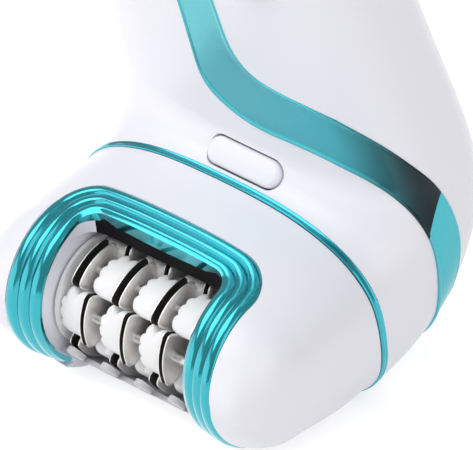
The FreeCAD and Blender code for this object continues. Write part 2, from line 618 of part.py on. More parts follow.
head_housing = head_block.cut(mouth).cut(undercut).cut(cavity).fuse(lip).cut(recess).cut(chamber)
head_housing = head_housing.cut(shaft_hole).cut(idler_hole).cut(latch_window)
for pocket in bushing_pockets:
    head_housing = head_housing.cut(pocket)
bushings = []
for side, low in (("left", shaft_left), ("right", CHEEK)):
    place = Vector(low, DRUM_Y, DRUM_Z)
    depth = "Sizes.bushing_length" if side == "left" \
        else "Sizes.gear_place - Sizes.gear_room - Sizes.mouth_half_width"
    body = bar(f"bushing_{side}", place, ALONG, "Sizes.shaft_radius + Sizes.running_gap + Sizes.bushing_wall", depth)
    bore = bar(f"bushing_bore_{side}", place, ALONG, "Sizes.shaft_radius + Sizes.running_gap", depth)
    bushings.append(drilled(f"bushing_drilled_{side}", body, bore))
bound_node("shaft_bushings", grouped("shaft_bushings", bushings))

base_plate = head_solid(-size("head_wall") - size("fit_gap"))
base_plate = base_plate.common(box(-FAR, FAR, plate_front, plate_back, size("head_wall") + size("fit_gap"), FAR))
base_plate = base_plate.cut(chamber).cut(latch_window)
head_screws = []
screw_x = size("neck_half_width") - 6.4
for side in (-1, 1):
    for level in (-1, 1):
        spot = Vector(side * screw_x, plate_back - head_height, AXIS + level * size("neck_half_depth") * 0.36)
        shank = Part.makeCylinder(screw_shank, screw_length, spot, Vector(0, -1, 0))
        cap = Part.makeCylinder(screw_head, head_height, spot, Vector(0, 1, 0))
        slot = Part.makeBox(2 * screw_head, 0.5, 0.5, spot + Vector(-screw_head, head_height - 0.5, -0.25))
        head_screws.append(shank.fuse(cap).cut(slot))
        hole = Part.makeCylinder(screw_shank + hole_gap, screw_length + hole_gap, spot, Vector(0, -1, 0))
        sink = Part.makeCylinder(screw_head + hole_gap, FAR, spot, Vector(0, 1, 0))
        base_plate = base_plate.cut(hole).cut(sink)
        head_housing = head_housing.cut(hole)

# ---------------------------------------------------------------- roller
DRUM_HALF = CHEEK - size("drum_gap")
disc = size("disc_thickness")
core_half = DRUM_HALF - disc
core, block, tip = size("drum_core_radius"), size("block_radius"), size("drum_radius")
pitch, thin = size("block_pitch"), size("plate_thickness")
CORE_LONG = "2 * (Sizes.mouth_half_width - Sizes.drum_gap - Sizes.disc_thickness)"


def sector(x0, x1, radius, hole, middle, sweep):
    """Slice of a round bar around the roller's axis, its middle at an angle from +Y towards +Z."""
    half = math.radians(sweep / 2)
    corners = [Vector(x0, DRUM_Y, DRUM_Z)]
    for turn in (-half, -half / 2, 0, half / 2, half):
        at = math.radians(middle) + turn
        corners.append(Vector(x0, DRUM_Y + 2 * radius * math.cos(at), DRUM_Z + 2 * radius * math.sin(at)))
    corners.append(corners[0])
    wedge = Part.Face(Part.makePolygon(corners)).extrude(Vector(x1 - x0, 0, 0))
    return rod(x0, x1, DRUM_Y, DRUM_Z, radius).cut(rod(x0, x1, DRUM_Y, DRUM_Z, hole)).common(wedge)


groove_half = size("rib_width") / 2
push_rods, ribbed_blocks, fixed_plates, moving_plates = [], [], [], []
for row in range(int(size("rows"))):
    turn = size("row_turn") + 360 / size("rows") * row
    at = math.radians(turn)
    rod_y = DRUM_Y + size("rod_place") * math.cos(at)
    rod_z = DRUM_Z + size("rod_place") * math.sin(at)
    push_bar = bar(f"push_rod_{row}", Vector(-core_half, rod_y, rod_z), ALONG, "Sizes.rod_radius", CORE_LONG)
    doc.recompute()
    push_rod = push_bar.Shape
    push_rods.append(push_bar)
    open_row = row % 2 == 0
    shift = size("row_shift") - (0 if open_row else size("row_offset"))
    pinch = size("pinch_gap_open") if open_row else size("pinch_gap_shut")
    for step in range(-2, 3):
        middle = step * pitch + shift
        low = max(middle - size("block_length") / 2, -core_half)
        high = min(middle + size("block_length") / 2, core_half)
        if high - low > size("block_length") * 0.7:
            piece = sector(low, high, block, core, turn, size("block_sweep")).cut(push_rod)
            for rib in (-1, 0, 1):
                groove_middle = middle + rib * size("rib_pitch")
                ring = rod(groove_middle - groove_half, groove_middle + groove_half, DRUM_Y, DRUM_Z, tip + 1)
                piece = piece.cut(ring.cut(rod(-FAR, FAR, DRUM_Y, DRUM_Z, block - size("rib_depth"))))
            ribbed_blocks.append(piece)
        near = middle + size("block_length") / 2 + size("plate_seat")
        for low, plates in ((near, fixed_plates), (near + thin + pinch, moving_plates)):
            if low > -core_half and low + thin < core_half:
                plates.append(sector(low, low + thin, tip, core, turn, size("plate_sweep")).cut(push_rod))
bound_node("push_rods", grouped("push_rods", push_rods))
core_start = Vector(-core_half, DRUM_Y, DRUM_Z)
bound_node("roller_core", drilled(
    "roller_core", bar("core_round", core_start, ALONG, "Sizes.drum_core_radius", CORE_LONG),
    bar("core_bore", core_start, ALONG, "Sizes.shaft_radius", CORE_LONG)))
discs = []
for side, low in (("left", -DRUM_HALF), ("right", core_half)):
    place = Vector(low, DRUM_Y, DRUM_Z)
    discs.append(drilled(f"disc_{side}",
                         bar(f"disc_round_{side}", place, ALONG, "Sizes.block_radius", "Sizes.disc_thickness"),
                         bar(f"disc_bore_{side}", place, ALONG, "Sizes.shaft_radius", "Sizes.disc_thickness")))
bound_node("roller_end_discs", grouped("roller_end_discs", discs))
bound_node("roller_shaft", bar(
    "roller_shaft", Vector(shaft_left + hole_gap, DRUM_Y, DRUM_Z), ALONG, "Sizes.shaft_radius",
    "Sizes.mouth_half_width + 2 * Sizes.bushing_length + Sizes.gear_place + Sizes.gear_width"
    " + Sizes.gear_room - 2 * Sizes.screw_hole_gap"))

# ---------------------------------------------------------------- inside the body
neck_plate = body_solid(-WALL - size("fit_gap")).cut(box(-FAR, FAR, -FAR, FAR, -FAR, WALL + size("fit_gap")))
neck_plate = neck_plate.common(neck_slab)
drive_reach = tip_radius(teeth_drive) + room
gear_slot = box(chamber_near, chamber_far, -FAR, FAR, DRUM_Z - drive_reach, DRUM_Z + drive_reach)
neck_plate = neck_plate.cut(gear_slot).cut(latch_window)
split_ring = body_solid(size("ring_proud")).cut(body_solid(-WALL)).cut(below_floor)
split_ring = split_ring.fuse(body_outside.common(box(-FAR, FAR, -FAR, FAR, 0, WALL)))
split_ring = split_ring.common(neck_ring)

frame_near, frame_far = chamber_near - size("frame_thickness"), chamber_near
motor = size("motor_radius")
gear_frame = box(frame_near, frame_far, NECK_BACK + SLAB, MOTOR_Y + motor, DRUM_Z - drive_reach, MOTOR_Z + motor)
gear_frame = gear_frame.common(body_solid(-WALL - size("fit_gap")))
shaft_room = rod(-FAR, FAR, MOTOR_Y, MOTOR_Z, pin + 1)
drive_axle = bar("drive_axle", Vector(frame_near, DRIVE_Y, DRUM_Z), ALONG, "Sizes.pin_radius",
                 "Sizes.gear_width + 2 * Sizes.gear_room + Sizes.frame_thickness")
bound_node("drive_axle", drive_axle)
gear_frame = gear_frame.cut(shaft_room).cut(drive_axle.Shape)
motor_far = frame_near
motor_near = motor_far - size("motor_length")
shaft_depth = size("motor_length") / 2
bound_node("motor_shaft", bar(
    "motor_shaft", Vector(motor_far - shaft_depth, MOTOR_Y, MOTOR_Z), ALONG, "Sizes.pin_radius",
    "Sizes.motor_length / 2 + Sizes.frame_thickness + Sizes.gear_room + Sizes.gear_width + Sizes.running_gap"))
bound_node("motor_can", drilled(
    "motor_can",
    bar("motor_round", Vector(motor_near, MOTOR_Y, MOTOR_Z), ALONG, "Sizes.motor_radius", "Sizes.motor_length"),
    bar("motor_bore", Vector(motor_far - shaft_depth - running, MOTOR_Y, MOTOR_Z), ALONG,
        "Sizes.pin_radius + Sizes.running_gap", "Sizes.motor_length / 2 + Sizes.running_gap")))
button_seat = button_seat_block.cut(rod(-FAR, FAR, MOTOR_Y, MOTOR_Z, motor + gap))

cell = size("cell_radius")
chassis_back = -cell - size("chassis_thickness")
chassis = box(-FAR, FAR, 2, 2 + size("chassis_length"), chassis_back, -cell)
inner_chassis = placed(chassis, grip_frame()).common(body_solid(-WALL - size("fit_gap")))
for hole in boss_holes:
    inner_chassis = inner_chassis.cut(hole)
cell_start = size("cell_place")
bound_node("battery_cell", bar("battery_cell", GRIP_LOW + UP * cell_start, UP, "Sizes.cell_radius",
                               "Sizes.cell_length"))
board_low = cell + size("fit_gap")
board = box(-size("switch_offset"), size("switch_offset") + 3, cell_start, cell_start + size("board_length"),
            board_low, board_low + size("board_thickness"))
circuit_board = placed(board, grip_frame()).common(body_solid(-WALL - size("fit_gap")))

# Speed switch and light, through the front of the grip.


def front_frame(along):
    """Placement on the grip's front face at the switch's X, its Z leaving the face."""
    foot = GRIP_LOW + UP * along + Vector(size("switch_offset"), 0, 0)
    return Placement(foot + OUT * reach(body_outside, foot, OUT), Rotation(Vector(1, 0, 0), UP, OUT, "XYZ"))


cap_width, cap_length = size("switch_width"), size("switch_length")
slide = size("switch_travel")
cap_low = 0.3
switch_cap = rounded_plate(cap_width, cap_length, cap_low, cap_low + size("switch_proud"), 2.4)
switch_stem = box(-1.5, 1.5, -2, 2, -WALL, cap_low)
switch_slot = box(-1.5 - gap, 1.5 + gap, -2 - slide - gap, 2 + slide + gap, -2 * WALL, FAR / 10)
switch_frame = front_frame(size("switch_place"))
speed_switch = placed(switch_cap.fuse(switch_stem), switch_frame)
front_shell = front_shell.cut(placed(switch_slot, switch_frame))
light_frame = front_frame(size("light_place"))
lens = bar("indicator_light", light_frame.multVec(Vector(0, 0, -WALL)), OUT, "Sizes.light_radius",
           "Sizes.wall + Sizes.light_proud")
bound_node("indicator_light", lens)
front_shell = front_shell.cut(lens.Shape)

# Charging socket in the end cap.
crown_foot = GRIP_HIGH
jack_top = reach(body_outside, crown_foot, UP)
jack_frame = Placement(crown_foot + UP * (jack_top - size("jack_length")), Rotation(Vector(0, 0, 1), UP))
jack = bar("jack_round", jack_frame.Base, UP, "Sizes.jack_body_radius", "Sizes.jack_length")
jack_bore = bar("jack_bore", jack_frame.Base + UP * size("jack_floor"), UP, "Sizes.jack_radius",
                "Sizes.jack_length - Sizes.jack_floor")
bound_node("charging_socket", drilled("charging_socket", jack, jack_bore))
end_cap = end_cap.cut(jack.Shape)

# ---------------------------------------------------------------- sub-parts
solid_node("front_shell", front_shell)
solid_node("back_shell", back_shell)
solid_node("end_cap", end_cap)
solid_node("coloured_band", band)
solid_node("split_ring", split_ring)
solid_node("neck_plate", neck_plate)
solid_node("gear_frame", gear_frame)
solid_node("inner_chassis", inner_chassis)
solid_node("circuit_board", circuit_board)
solid_node("shell_screws", Part.makeCompound(shell_screws))
solid_node("button_seat", button_seat)
solid_node("button_spring", button_spring)
solid_node("release_button", release_button)
solid_node("latch_hook", latch_hook)
solid_node("speed_switch", speed_switch)
solid_node("motor_pinion", motor_pinion)
solid_node("drive_gear", drive_gear)
solid_node("head_housing", head_housing)
solid_node("roller_frame", roller_frame)
solid_node("head_base_plate", base_plate)
solid_node("head_screws", Part.makeCompound(head_screws))
solid_node("idler_gear", idler_gear)
solid_node("ribbed_blocks", Part.makeCompound(ribbed_blocks))
solid_node("fixed_tweezer_plates", Part.makeCompound(fixed_plates))
solid_node("moving_tweezer_plates", Part.makeCompound(moving_plates))
solid_node("drum_gear", drum_gear)

doc.recompute()
for item in doc.Objects:
    assert "Invalid" not in item.State and "Error" not in item.State, item.Label
os.makedirs("parts", exist_ok=True)
for name, feature in nodes.items():
    shape = feature.Shape
    assert not shape.isNull() and shape.isValid() and shape.Solids, name
    shape.exportStep(f"parts/{name}.step")
    box_of = shape.optimalBoundingBox()
    corners = [round(v, 2) for v in (box_of.XMin, box_of.XMax, box_of.YMin, box_of.YMax, box_of.ZMin, box_of.ZMax)]
    print(f"{name}: {len(shape.Solids)} solids, {shape.Volume:.1f} mm3, {corners}")
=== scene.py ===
# %% [markdown]
# # A handheld epilator, dressed for the studio
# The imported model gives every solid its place. This lesson keeps the inner parts as they are, gives the
# shells clean reflections, and builds what catches the eye with its own meshes: the plated trim round
# the mouth, the thin ring, the lacquered band, the button and the roller with its tweezer plates.

import json
import math

import bmesh
import bpy
import numpy as np
from mathutils import Matrix, Vector
from mathutils.bvhtree import BVHTree


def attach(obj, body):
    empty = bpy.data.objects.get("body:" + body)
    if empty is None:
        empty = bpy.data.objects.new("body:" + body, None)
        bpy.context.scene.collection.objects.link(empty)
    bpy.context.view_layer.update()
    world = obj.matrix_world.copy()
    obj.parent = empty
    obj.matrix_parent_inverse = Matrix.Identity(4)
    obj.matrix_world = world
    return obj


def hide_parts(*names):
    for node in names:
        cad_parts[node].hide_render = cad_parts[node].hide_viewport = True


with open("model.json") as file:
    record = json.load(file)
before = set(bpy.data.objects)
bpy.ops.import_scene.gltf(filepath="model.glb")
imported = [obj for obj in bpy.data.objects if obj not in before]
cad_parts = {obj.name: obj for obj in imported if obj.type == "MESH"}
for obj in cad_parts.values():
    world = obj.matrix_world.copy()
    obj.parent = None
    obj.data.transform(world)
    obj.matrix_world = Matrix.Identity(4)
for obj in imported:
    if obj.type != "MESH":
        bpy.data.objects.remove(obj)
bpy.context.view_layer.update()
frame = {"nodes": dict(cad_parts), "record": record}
NODES = frame["nodes"]

# %% [markdown]
# ## Sizes shared by every piece
# A maker works in millimetres and Blender in metres, so each size is written in millimetres once and a
# point is turned into metres when its mesh is made. The values are those of the solids.

# %% Sizes
MM = 0.001
SPLIT, AXIS = -5.5, 14.5            # where head and body meet, and the height of the head's middle
NECK_WIDE, NECK_DEEP = 31.6, 17.3   # half sizes of the body at the split
ROUND = 2.6                         # power of the rounded cross-section
HEAD_REACH, NOSE = 15.5, 13.3       # split to roller, roller to the tip of the nose
NOSE_FULL, NOSE_TAPER = 3.2, 0.24
MOUTH_HALF, MOUTH_BACK, MOUTH_FLOOR = 15.6, 14.6, 11.7
TRIM_LEG, TRIM_BAR = 6.2, 4.3
CORNER_IN, CORNER_OUT = 3.5, 7.0
ROLLER_Y, ROLLER_Z = SPLIT - HEAD_REACH, AXIS - 0.5
BEND, THROAT, HEEL_LOW, HEEL_HIGH = 100.0, 5.3, 36.0, 31.4
WAIST_WIDE, GRIP_LONG, GRIP_WIDE, GRIP_DEEP, CROWN = 33.8, 93.5, 25.6, 22.6, 9.0
print("mouth", 2 * MOUTH_HALF, "mm wide, roller axis at", (ROLLER_Y, ROLLER_Z))


# %% [markdown]
# ## Turning point grids into meshes
# Most pieces here are a sheet of points in rows and columns. One helper makes the mesh, closes it in
# either direction where asked, caps its ends and points its faces outwards, so no piece repeats it.

# %% Mesh helpers
def finish_piece(name, mesh, body, material, replaced=(), smooth=40):
    piece = bpy.data.objects.new(name, mesh)
    bpy.context.scene.collection.objects.link(piece)
    mesh.materials.append(material)
    for face in mesh.polygons:
        face.use_smooth = True
    mesh.set_sharp_from_angle(angle=math.radians(smooth))
    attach(piece, body)
    if replaced:
        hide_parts(*replaced)
    return piece


def grid_faces(rows, columns, close_rows=False, close_columns=False):
    faces = []
    for i in range(rows if close_rows else rows - 1):
        for j in range(columns if close_columns else columns - 1):
            k, m = (i + 1) % rows, (j + 1) % columns
            faces.append((i * columns + j, i * columns + m, k * columns + m, k * columns + j))
    return faces


def mesh_from(name, points, faces):
    """Mesh in metres from points in millimetres, with doubles merged and faces pointing outwards."""
    mesh = bpy.data.meshes.new(name)
    mesh.from_pydata([Vector(p) * MM for p in points], [], faces)
    work = bmesh.new()
    work.from_mesh(mesh)
    bmesh.ops.remove_doubles(work, verts=work.verts, dist=0.002 * MM)
    bmesh.ops.recalc_face_normals(work, faces=work.faces)
    work.to_mesh(mesh)
    work.free()
    return mesh


def closed_rings(rings):
    """Points and faces of a solid made of closed rings, with both ends capped."""
    count = len(rings[0])
    points = [p for ring in rings for p in ring]
    faces = grid_faces(len(rings), count, close_columns=True)
    for ring in (0, len(rings) - 1):
        points.append(sum((Vector(p) for p in rings[ring]), Vector()) / count)
        hub = len(points) - 1
        faces += [(ring * count + j, ring * count + (j + 1) % count, hub) for j in range(count)]
    return points, faces


def sized_power(value, power):
    return math.copysign(abs(value) ** power, value)


print("helpers ready")


# %% [markdown]
# ## The smooth outside of body and head
# Moulded shells reflect the room in long clean lines. The same rules that shaped the solids give here a
# fine grid of the outside, and its normals are what the shells' corners are turned to.

# %% Outside surfaces
def natural_spline(places, values, at):
    """Smooth curve through values, for one or more columns."""
    places, values, at = np.array(places, float), np.array(values, float), np.array(at, float)
    count = len(places)
    step = np.diff(places)
    matrix = np.zeros((count, count))
    right = np.zeros((count, values.shape[1]))
    matrix[0, 0] = matrix[-1, -1] = 1
    for i in range(1, count - 1):
        matrix[i, i - 1:i + 2] = step[i - 1], 2 * (step[i - 1] + step[i]), step[i]
        right[i] = 6 * ((values[i + 1] - values[i]) / step[i] - (values[i] - values[i - 1]) / step[i - 1])
    bends = np.linalg.solve(matrix, right)
    k = np.clip(np.searchsorted(places, at) - 1, 0, count - 2)
    h = step[k][:, None]
    a = (places[k + 1] - at)[:, None]
    b = (at - places[k])[:, None]
    return (bends[k] * a ** 3 + bends[k + 1] * b ** 3) / (6 * h) \
        + (values[k] / h - bends[k] * h / 6) * a + (values[k + 1] / h - bends[k + 1] * h / 6) * b


def body_sections():
    throat_middle = Vector((0, SPLIT, AXIS + NECK_DEEP + THROAT))
    heel_middle = Vector((0, SPLIT, AXIS - NECK_DEEP + HEEL_LOW))
    sections = []
    for i in range(9):
        share = i / 8
        angle = math.radians(BEND * share)
        toward = Vector((0, math.sin(angle), -math.cos(angle)))
        inner = throat_middle + toward * THROAT
        outer = heel_middle + toward * (HEEL_LOW + (HEEL_HIGH - HEEL_LOW) * share)
        sections.append((inner, outer, NECK_WIDE + (WAIST_WIDE - NECK_WIDE) * share))
    up = Vector((0, math.cos(math.radians(BEND)), math.sin(math.radians(BEND))))
    back = Vector((0, up.z, -up.y))
    front, rear, _ = sections[-1]
    middle = (front + rear) / 2 + up * GRIP_LONG
    for i in range(1, 6):
        share = i / 5
        sections.append((front.lerp(middle - back * GRIP_DEEP / 2, share),
                         rear.lerp(middle + back * GRIP_DEEP / 2, share),
                         WAIST_WIDE + (GRIP_WIDE - WAIST_WIDE) * share))
    for angle in (25, 45, 62, 76):
        shrink = math.cos(math.radians(angle))
        rise = up * CROWN * math.sin(math.radians(angle))
        half = back * (GRIP_DEEP / 2 * shrink)
        sections.append((middle + rise - half, middle + rise + half, GRIP_WIDE * (0.25 + 0.75 * shrink)))
    return sections


SECTIONS = body_sections()
TURNS = 192
table = [list(inner)[1:] + list(outer)[1:] + [wide] for inner, outer, wide in SECTIONS]
places = [0.0]
for before, after in zip(SECTIONS, SECTIONS[1:]):
    places.append(places[-1] + ((before[0] + before[1]) / 2 - (after[0] + after[1]) / 2).length)
fine = np.linspace(0, places[-1], 300)
body_points = []
for y0, z0, y1, z1, wide in natural_spline(places, table, fine):
    inner, outer = Vector((0, y0, z0)), Vector((0, y1, z1))
    middle, arm = (inner + outer) / 2, (inner - outer) / 2
    for j in range(TURNS):
        turn = 2 * math.pi * j / TURNS
        across = wide * sized_power(math.cos(turn), 2 / ROUND)
        body_points.append(middle + Vector((across, 0, 0)) + arm * sized_power(math.sin(turn), 2 / ROUND))


def head_point(x, turn):
    """Point on the head's outside at x; turn runs from the top of the split round the nose, 0 to pi."""
    long = HEAD_REACH + NOSE
    share = max(math.sin(turn), 0) ** (2 / NOSE_FULL)
    lean = min(max(0, long * share - HEAD_REACH) / NOSE, 1)
    wide = NECK_WIDE * (1 - NOSE_TAPER * (1 - math.sqrt(1 - lean ** 2)))
    power = ROUND + lean
    rise = max(0, 1 - min(abs(x) / wide, 1) ** power) ** (1 / power)
    return Vector((x, SPLIT - long * share, AXIS + NECK_DEEP * math.cos(turn) * rise))


def head_grid(rows=160, columns=160):
    points = []
    for i in range(rows):
        turn = math.pi / 2 * i / (rows - 1)
        long = HEAD_REACH + NOSE
        share = math.sin(turn) ** (2 / NOSE_FULL)
        lean = min(max(0, long * share - HEAD_REACH) / NOSE, 1)
        wide = NECK_WIDE * (1 - NOSE_TAPER * (1 - math.sqrt(1 - lean ** 2)))
        power = ROUND + lean
        for j in range(columns):
            angle = 2 * math.pi * j / columns
            points.append(Vector((wide * sized_power(math.cos(angle), 2 / power), SPLIT - long * share,
                                  AXIS + NECK_DEEP * math.cos(turn) * sized_power(math.sin(angle), 2 / power))))
    return points, grid_faces(rows, columns, close_columns=True)


def surface_of(points, faces):
    """The surface as a search tree with its smooth normals."""
    mesh = bpy.data.meshes.new("guide")
    mesh.from_pydata([Vector(p) for p in points], [], faces)
    work = bmesh.new()
    work.from_mesh(mesh)
    bmesh.ops.recalc_face_normals(work, faces=work.faces)
    work.to_mesh(mesh)
    work.free()
    vertices = [v.co.copy() for v in mesh.vertices]
    normals = [v.normal.copy() for v in mesh.vertices]
    polygons = [tuple(p.vertices) for p in mesh.polygons]
    tree = BVHTree.FromPolygons(vertices, polygons)
    bpy.data.meshes.remove(mesh)
    return tree, vertices, normals, polygons


BODY_SKIN = surface_of(body_points, grid_faces(len(fine), TURNS, close_columns=True))
HEAD_SKIN = surface_of(*head_grid())


def skin_normal(skin, point):
    """Nearest point and smooth normal on a skin."""
    tree, vertices, normals, polygons = skin
    place, _, index, far = tree.find_nearest(point)
    total, normal = 0.0, Vector()
    for k in polygons[index]:
        weight = 1 / ((vertices[k] - place).length + 1e-6)
        total += weight
        normal += normals[k] * weight
    return place, (normal / total).normalized(), far


print("guide surfaces:", len(BODY_SKIN[1]), "and", len(HEAD_SKIN[1]), "points")

# %% [markdown]
# ## Finishes
# Each finish is a Principled BSDF with its own small variation. Moulded plastic is never quite even, so a
# shared group mixes two noises into a mask for roughness and a height for the bump. Constants such as
# coat or sheen sit on the shader itself.

# %% Shared grain group
def grain_group():
    group = bpy.data.node_groups.new("moulded_grain", "ShaderNodeTree")
    for name, low in (("Fine Scale", 900.0), ("Broad Scale", 40.0), ("Roughness", 0.3), ("Spread", 0.05)):
        socket = group.interface.new_socket(name, in_out="INPUT", socket_type="NodeSocketFloat")
        socket.default_value = low
    group.interface.new_socket("Roughness", in_out="OUTPUT", socket_type="NodeSocketFloat")
    group.interface.new_socket("Height", in_out="OUTPUT", socket_type="NodeSocketFloat")
    nodes, links = group.nodes, group.links
    inputs, outputs = nodes.new("NodeGroupInput"), nodes.new("NodeGroupOutput")
    place = nodes.new("ShaderNodeTexCoord")
    fine, broad = nodes.new("ShaderNodeTexNoise"), nodes.new("ShaderNodeTexNoise")
    for noise, scale in ((fine, "Fine Scale"), (broad, "Broad Scale")):
        links.new(place.outputs["Object"], noise.inputs["Vector"])
        links.new(inputs.outputs[scale], noise.inputs["Scale"])
        noise.inputs["Detail"].default_value = 3
    centre = nodes.new("ShaderNodeMath")
    centre.operation = "SUBTRACT"
    links.new(broad.outputs["Fac"], centre.inputs[0])
    centre.inputs[1].default_value = 0.5
    spread = nodes.new("ShaderNodeMath")
    spread.operation = "MULTIPLY_ADD"
    links.new(centre.outputs[0], spread.inputs[0])
    links.new(inputs.outputs["Spread"], spread.inputs[1])
    links.new(inputs.outputs["Roughness"], spread.inputs[2])
    links.new(spread.outputs[0], outputs.inputs["Roughness"])
    links.new(fine.outputs["Fac"], outputs.inputs["Height"])
    return group


GRAIN = grain_group()
print("group made:", GRAIN.name)

# %% Materials
def finish(name, color, roughness, metallic=0.0, spread=0.06, bump=0.02, scale=900.0, **constants):
    material = bpy.data.materials.new(name)
    material.use_nodes = True
    nodes, links = material.node_tree.nodes, material.node_tree.links
    shader = nodes["Principled BSDF"]
    shader.inputs["Base Color"].default_value = (*color, 1)
    shader.inputs["Metallic"].default_value = metallic
    for socket, value in constants.items():
        shader.inputs[socket.replace("_", " ")].default_value = value
    grain = nodes.new("ShaderNodeGroup")
    grain.node_tree = GRAIN
    grain.inputs["Fine Scale"].default_value = scale
    grain.inputs["Roughness"].default_value = roughness
    grain.inputs["Spread"].default_value = spread
    bump_node = nodes.new("ShaderNodeBump")
    bump_node.inputs["Strength"].default_value = bump
    bump_node.inputs["Distance"].default_value = 0.0001
    links.new(grain.outputs["Roughness"], shader.inputs["Roughness"])
    links.new(grain.outputs["Height"], bump_node.inputs["Height"])
    links.new(bump_node.outputs["Normal"], shader.inputs["Normal"])
    return material


def painted_shade_ramp(material, second, axis, low, high):
    """Painted shade: Base Color runs from the material's own to a second one along an object axis, in
    millimetres.
    """
    nodes, links = material.node_tree.nodes, material.node_tree.links
    shader = nodes["Principled BSDF"]
    place, split = nodes.new("ShaderNodeTexCoord"), nodes.new("ShaderNodeSeparateXYZ")
    ramp = nodes.new("ShaderNodeMapRange")
    ramp.interpolation_type = "SMOOTHSTEP"
    ramp.inputs["From Min"].default_value = low * MM
    ramp.inputs["From Max"].default_value = high * MM
    mix = nodes.new("ShaderNodeMix")
    mix.data_type = "RGBA"
    mix.inputs["A"].default_value = shader.inputs["Base Color"].default_value
    mix.inputs["B"].default_value = (*second, 1)
    links.new(place.outputs["Object"], split.inputs[0])
    links.new(split.outputs["XYZ".index(axis)], ramp.inputs["Value"])
    links.new(ramp.outputs[0], mix.inputs["Factor"])
    links.new(mix.outputs["Result"], shader.inputs["Base Color"])
    return material


SHELL = finish("white_shell", (0.86, 0.855, 0.915), 0.34, scale=1500, Coat_Weight=0.2, Coat_Roughness=0.26)
MOUTH_DARK = finish("mouth_shadow", (0.004, 0.004, 0.005), 0.7, Specular_IOR_Level=0.12)
PLATED = finish("plated_trim", (0.006, 0.36, 0.43), 0.18, metallic=1.0, spread=0.04, bump=0.004,
                Coat_Weight=0.8, Coat_Roughness=0.06, Coat_IOR=1.6)
# The band's teal darkens to near-black towards its right end, from x 20 to 32.5 mm: painted shade on the band.
BAND_LACQUER_AND_SHADE = painted_shade_ramp(finish("band_lacquer_painted_shade", (0.055, 0.43, 0.49), 0.27, metallic=0.85, spread=0.04, bump=0.01,
                           Coat_Weight=0.3, Coat_Roughness=0.08), (0.0006, 0.010, 0.014), "X", 20.0, 32.5)
# The flank keeps the band's teal, without the painted shade of the front.
FLANK_LACQUER = finish("flank_lacquer", (0.06, 0.42, 0.48), 0.3, metallic=0.85, spread=0.04, bump=0.01,
                       Coat_Weight=0.3, Coat_Roughness=0.08)
STEEL = finish("blade_steel", (0.80, 0.775, 0.75), 0.34, metallic=0.8, spread=0.1, bump=0.03, scale=2500)
GROUND = finish("ground_steel", (0.60, 0.60, 0.60), 0.18, metallic=1.0, spread=0.08)
BLOCK = finish("block_plastic", (0.90, 0.90, 0.91), 0.42, scale=2200, bump=0.04)
INNER_PALE = finish("lip_grey", (0.56, 0.56, 0.57), 0.35)
# Near-black for the plates' faces towards the gap: painted shade between the plates.
GAP_PAINTED_SHADE = finish("plate_gap_painted_shade", (0.012, 0.011, 0.010), 0.5, metallic=0.3)
INNER = finish("inner_grey", (0.16, 0.16, 0.17), 0.5)
BLACK = finish("inner_black", (0.012, 0.012, 0.013), 0.42)
NATURAL = finish("gear_plastic", (0.78, 0.75, 0.62), 0.45)
BRASS = finish("bushing_brass", (0.72, 0.50, 0.20), 0.3, metallic=1.0)
WRAP = finish("cell_wrap", (0.06, 0.20, 0.36), 0.25, Coat_Weight=0.4)
BOARD = finish("board_green", (0.02, 0.16, 0.07), 0.35)
LENS = finish("light_lens", (0.85, 0.93, 0.93), 0.12, Transmission_Weight=0.6, IOR=1.49)
FINISH_OF_SLOT = {"shell_white": SHELL, "band_teal": BAND_LACQUER_AND_SHADE, "trim_teal": PLATED, "blade_steel": STEEL,
                  "shaft_steel": GROUND, "block_white": BLOCK, "inner_grey": INNER, "inner_black": BLACK,
                  "gear_natural": NATURAL, "motor_steel": GROUND, "bushing_brass": BRASS, "cell_wrap": WRAP,
                  "board_green": BOARD, "light_lens": LENS}
slot_of = {part["node"]: part["material_slot"] for part in frame["record"]["subparts"]}
for name, node in NODES.items():
    node.data.materials.clear()
    node.data.materials.append(FINISH_OF_SLOT[slot_of[name]])
print("finishes:", len(FINISH_OF_SLOT))

# %% [markdown]
# ## Shells with clean reflections
# A shell's solid has the right edges, holes and seams, but its triangles catch the light one by one. A
# copy is merged, and each corner that lies on the outside takes the smooth normal of the guide surface,
# while walls, lips and holes keep their own. Inside the head's mouth a near-black material is laid on the
# walls: a painted shadow.

# %% Shells
FACES_KEPT = 150000         # a shell with more faces than this is thinned first


def thinned(mesh, ratio):
    """The same mesh with fewer faces."""
    carrier = bpy.data.objects.new("carrier", mesh)
    bpy.context.scene.collection.objects.link(carrier)
    modifier = carrier.modifiers.new("thin", "DECIMATE")
    modifier.ratio = ratio
    result = bpy.data.meshes.new_from_object(carrier.evaluated_get(bpy.context.evaluated_depsgraph_get()))
    carrier.modifiers.remove(modifier)
    bpy.data.objects.remove(carrier)
    return result


def smooth_shell(node, skin, reach=0.35, limit=0.90):
    """Copy of a shell's solid whose outside takes the guide surface's normals."""
    source = NODES[node]
    mesh = source.data.copy()
    mesh.name = node + "_skin"
    work = bmesh.new()
    work.from_mesh(mesh)
    bmesh.ops.remove_doubles(work, verts=work.verts, dist=0.001 * MM)
    work.to_mesh(mesh)
    work.free()
    if len(mesh.polygons) > FACES_KEPT:
        mesh = thinned(mesh, FACES_KEPT / len(mesh.polygons))
    print(node, len(mesh.polygons), "faces")
    found = [skin_normal(skin, v.co / MM) for v in mesh.vertices]
    normals = [Vector()] * len(mesh.loops)
    for face in mesh.polygons:
        face.use_smooth = True
        flat = face.normal
        for k in face.loop_indices:
            _, normal, far = found[mesh.loops[k].vertex_index]
            outside = far is not None and far < reach and normal.dot(flat) > limit
            normals[k] = normal if outside else flat
    mesh.normals_split_custom_set(normals)
    return mesh


def add_shell(node, skin, body):
    mesh = smooth_shell(node, skin)
    mesh.materials.clear()
    piece = bpy.data.objects.new(node + "_finished", mesh)
    bpy.context.scene.collection.objects.link(piece)
    mesh.materials.append(SHELL)
    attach(piece, body)
    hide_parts(node)
    return piece


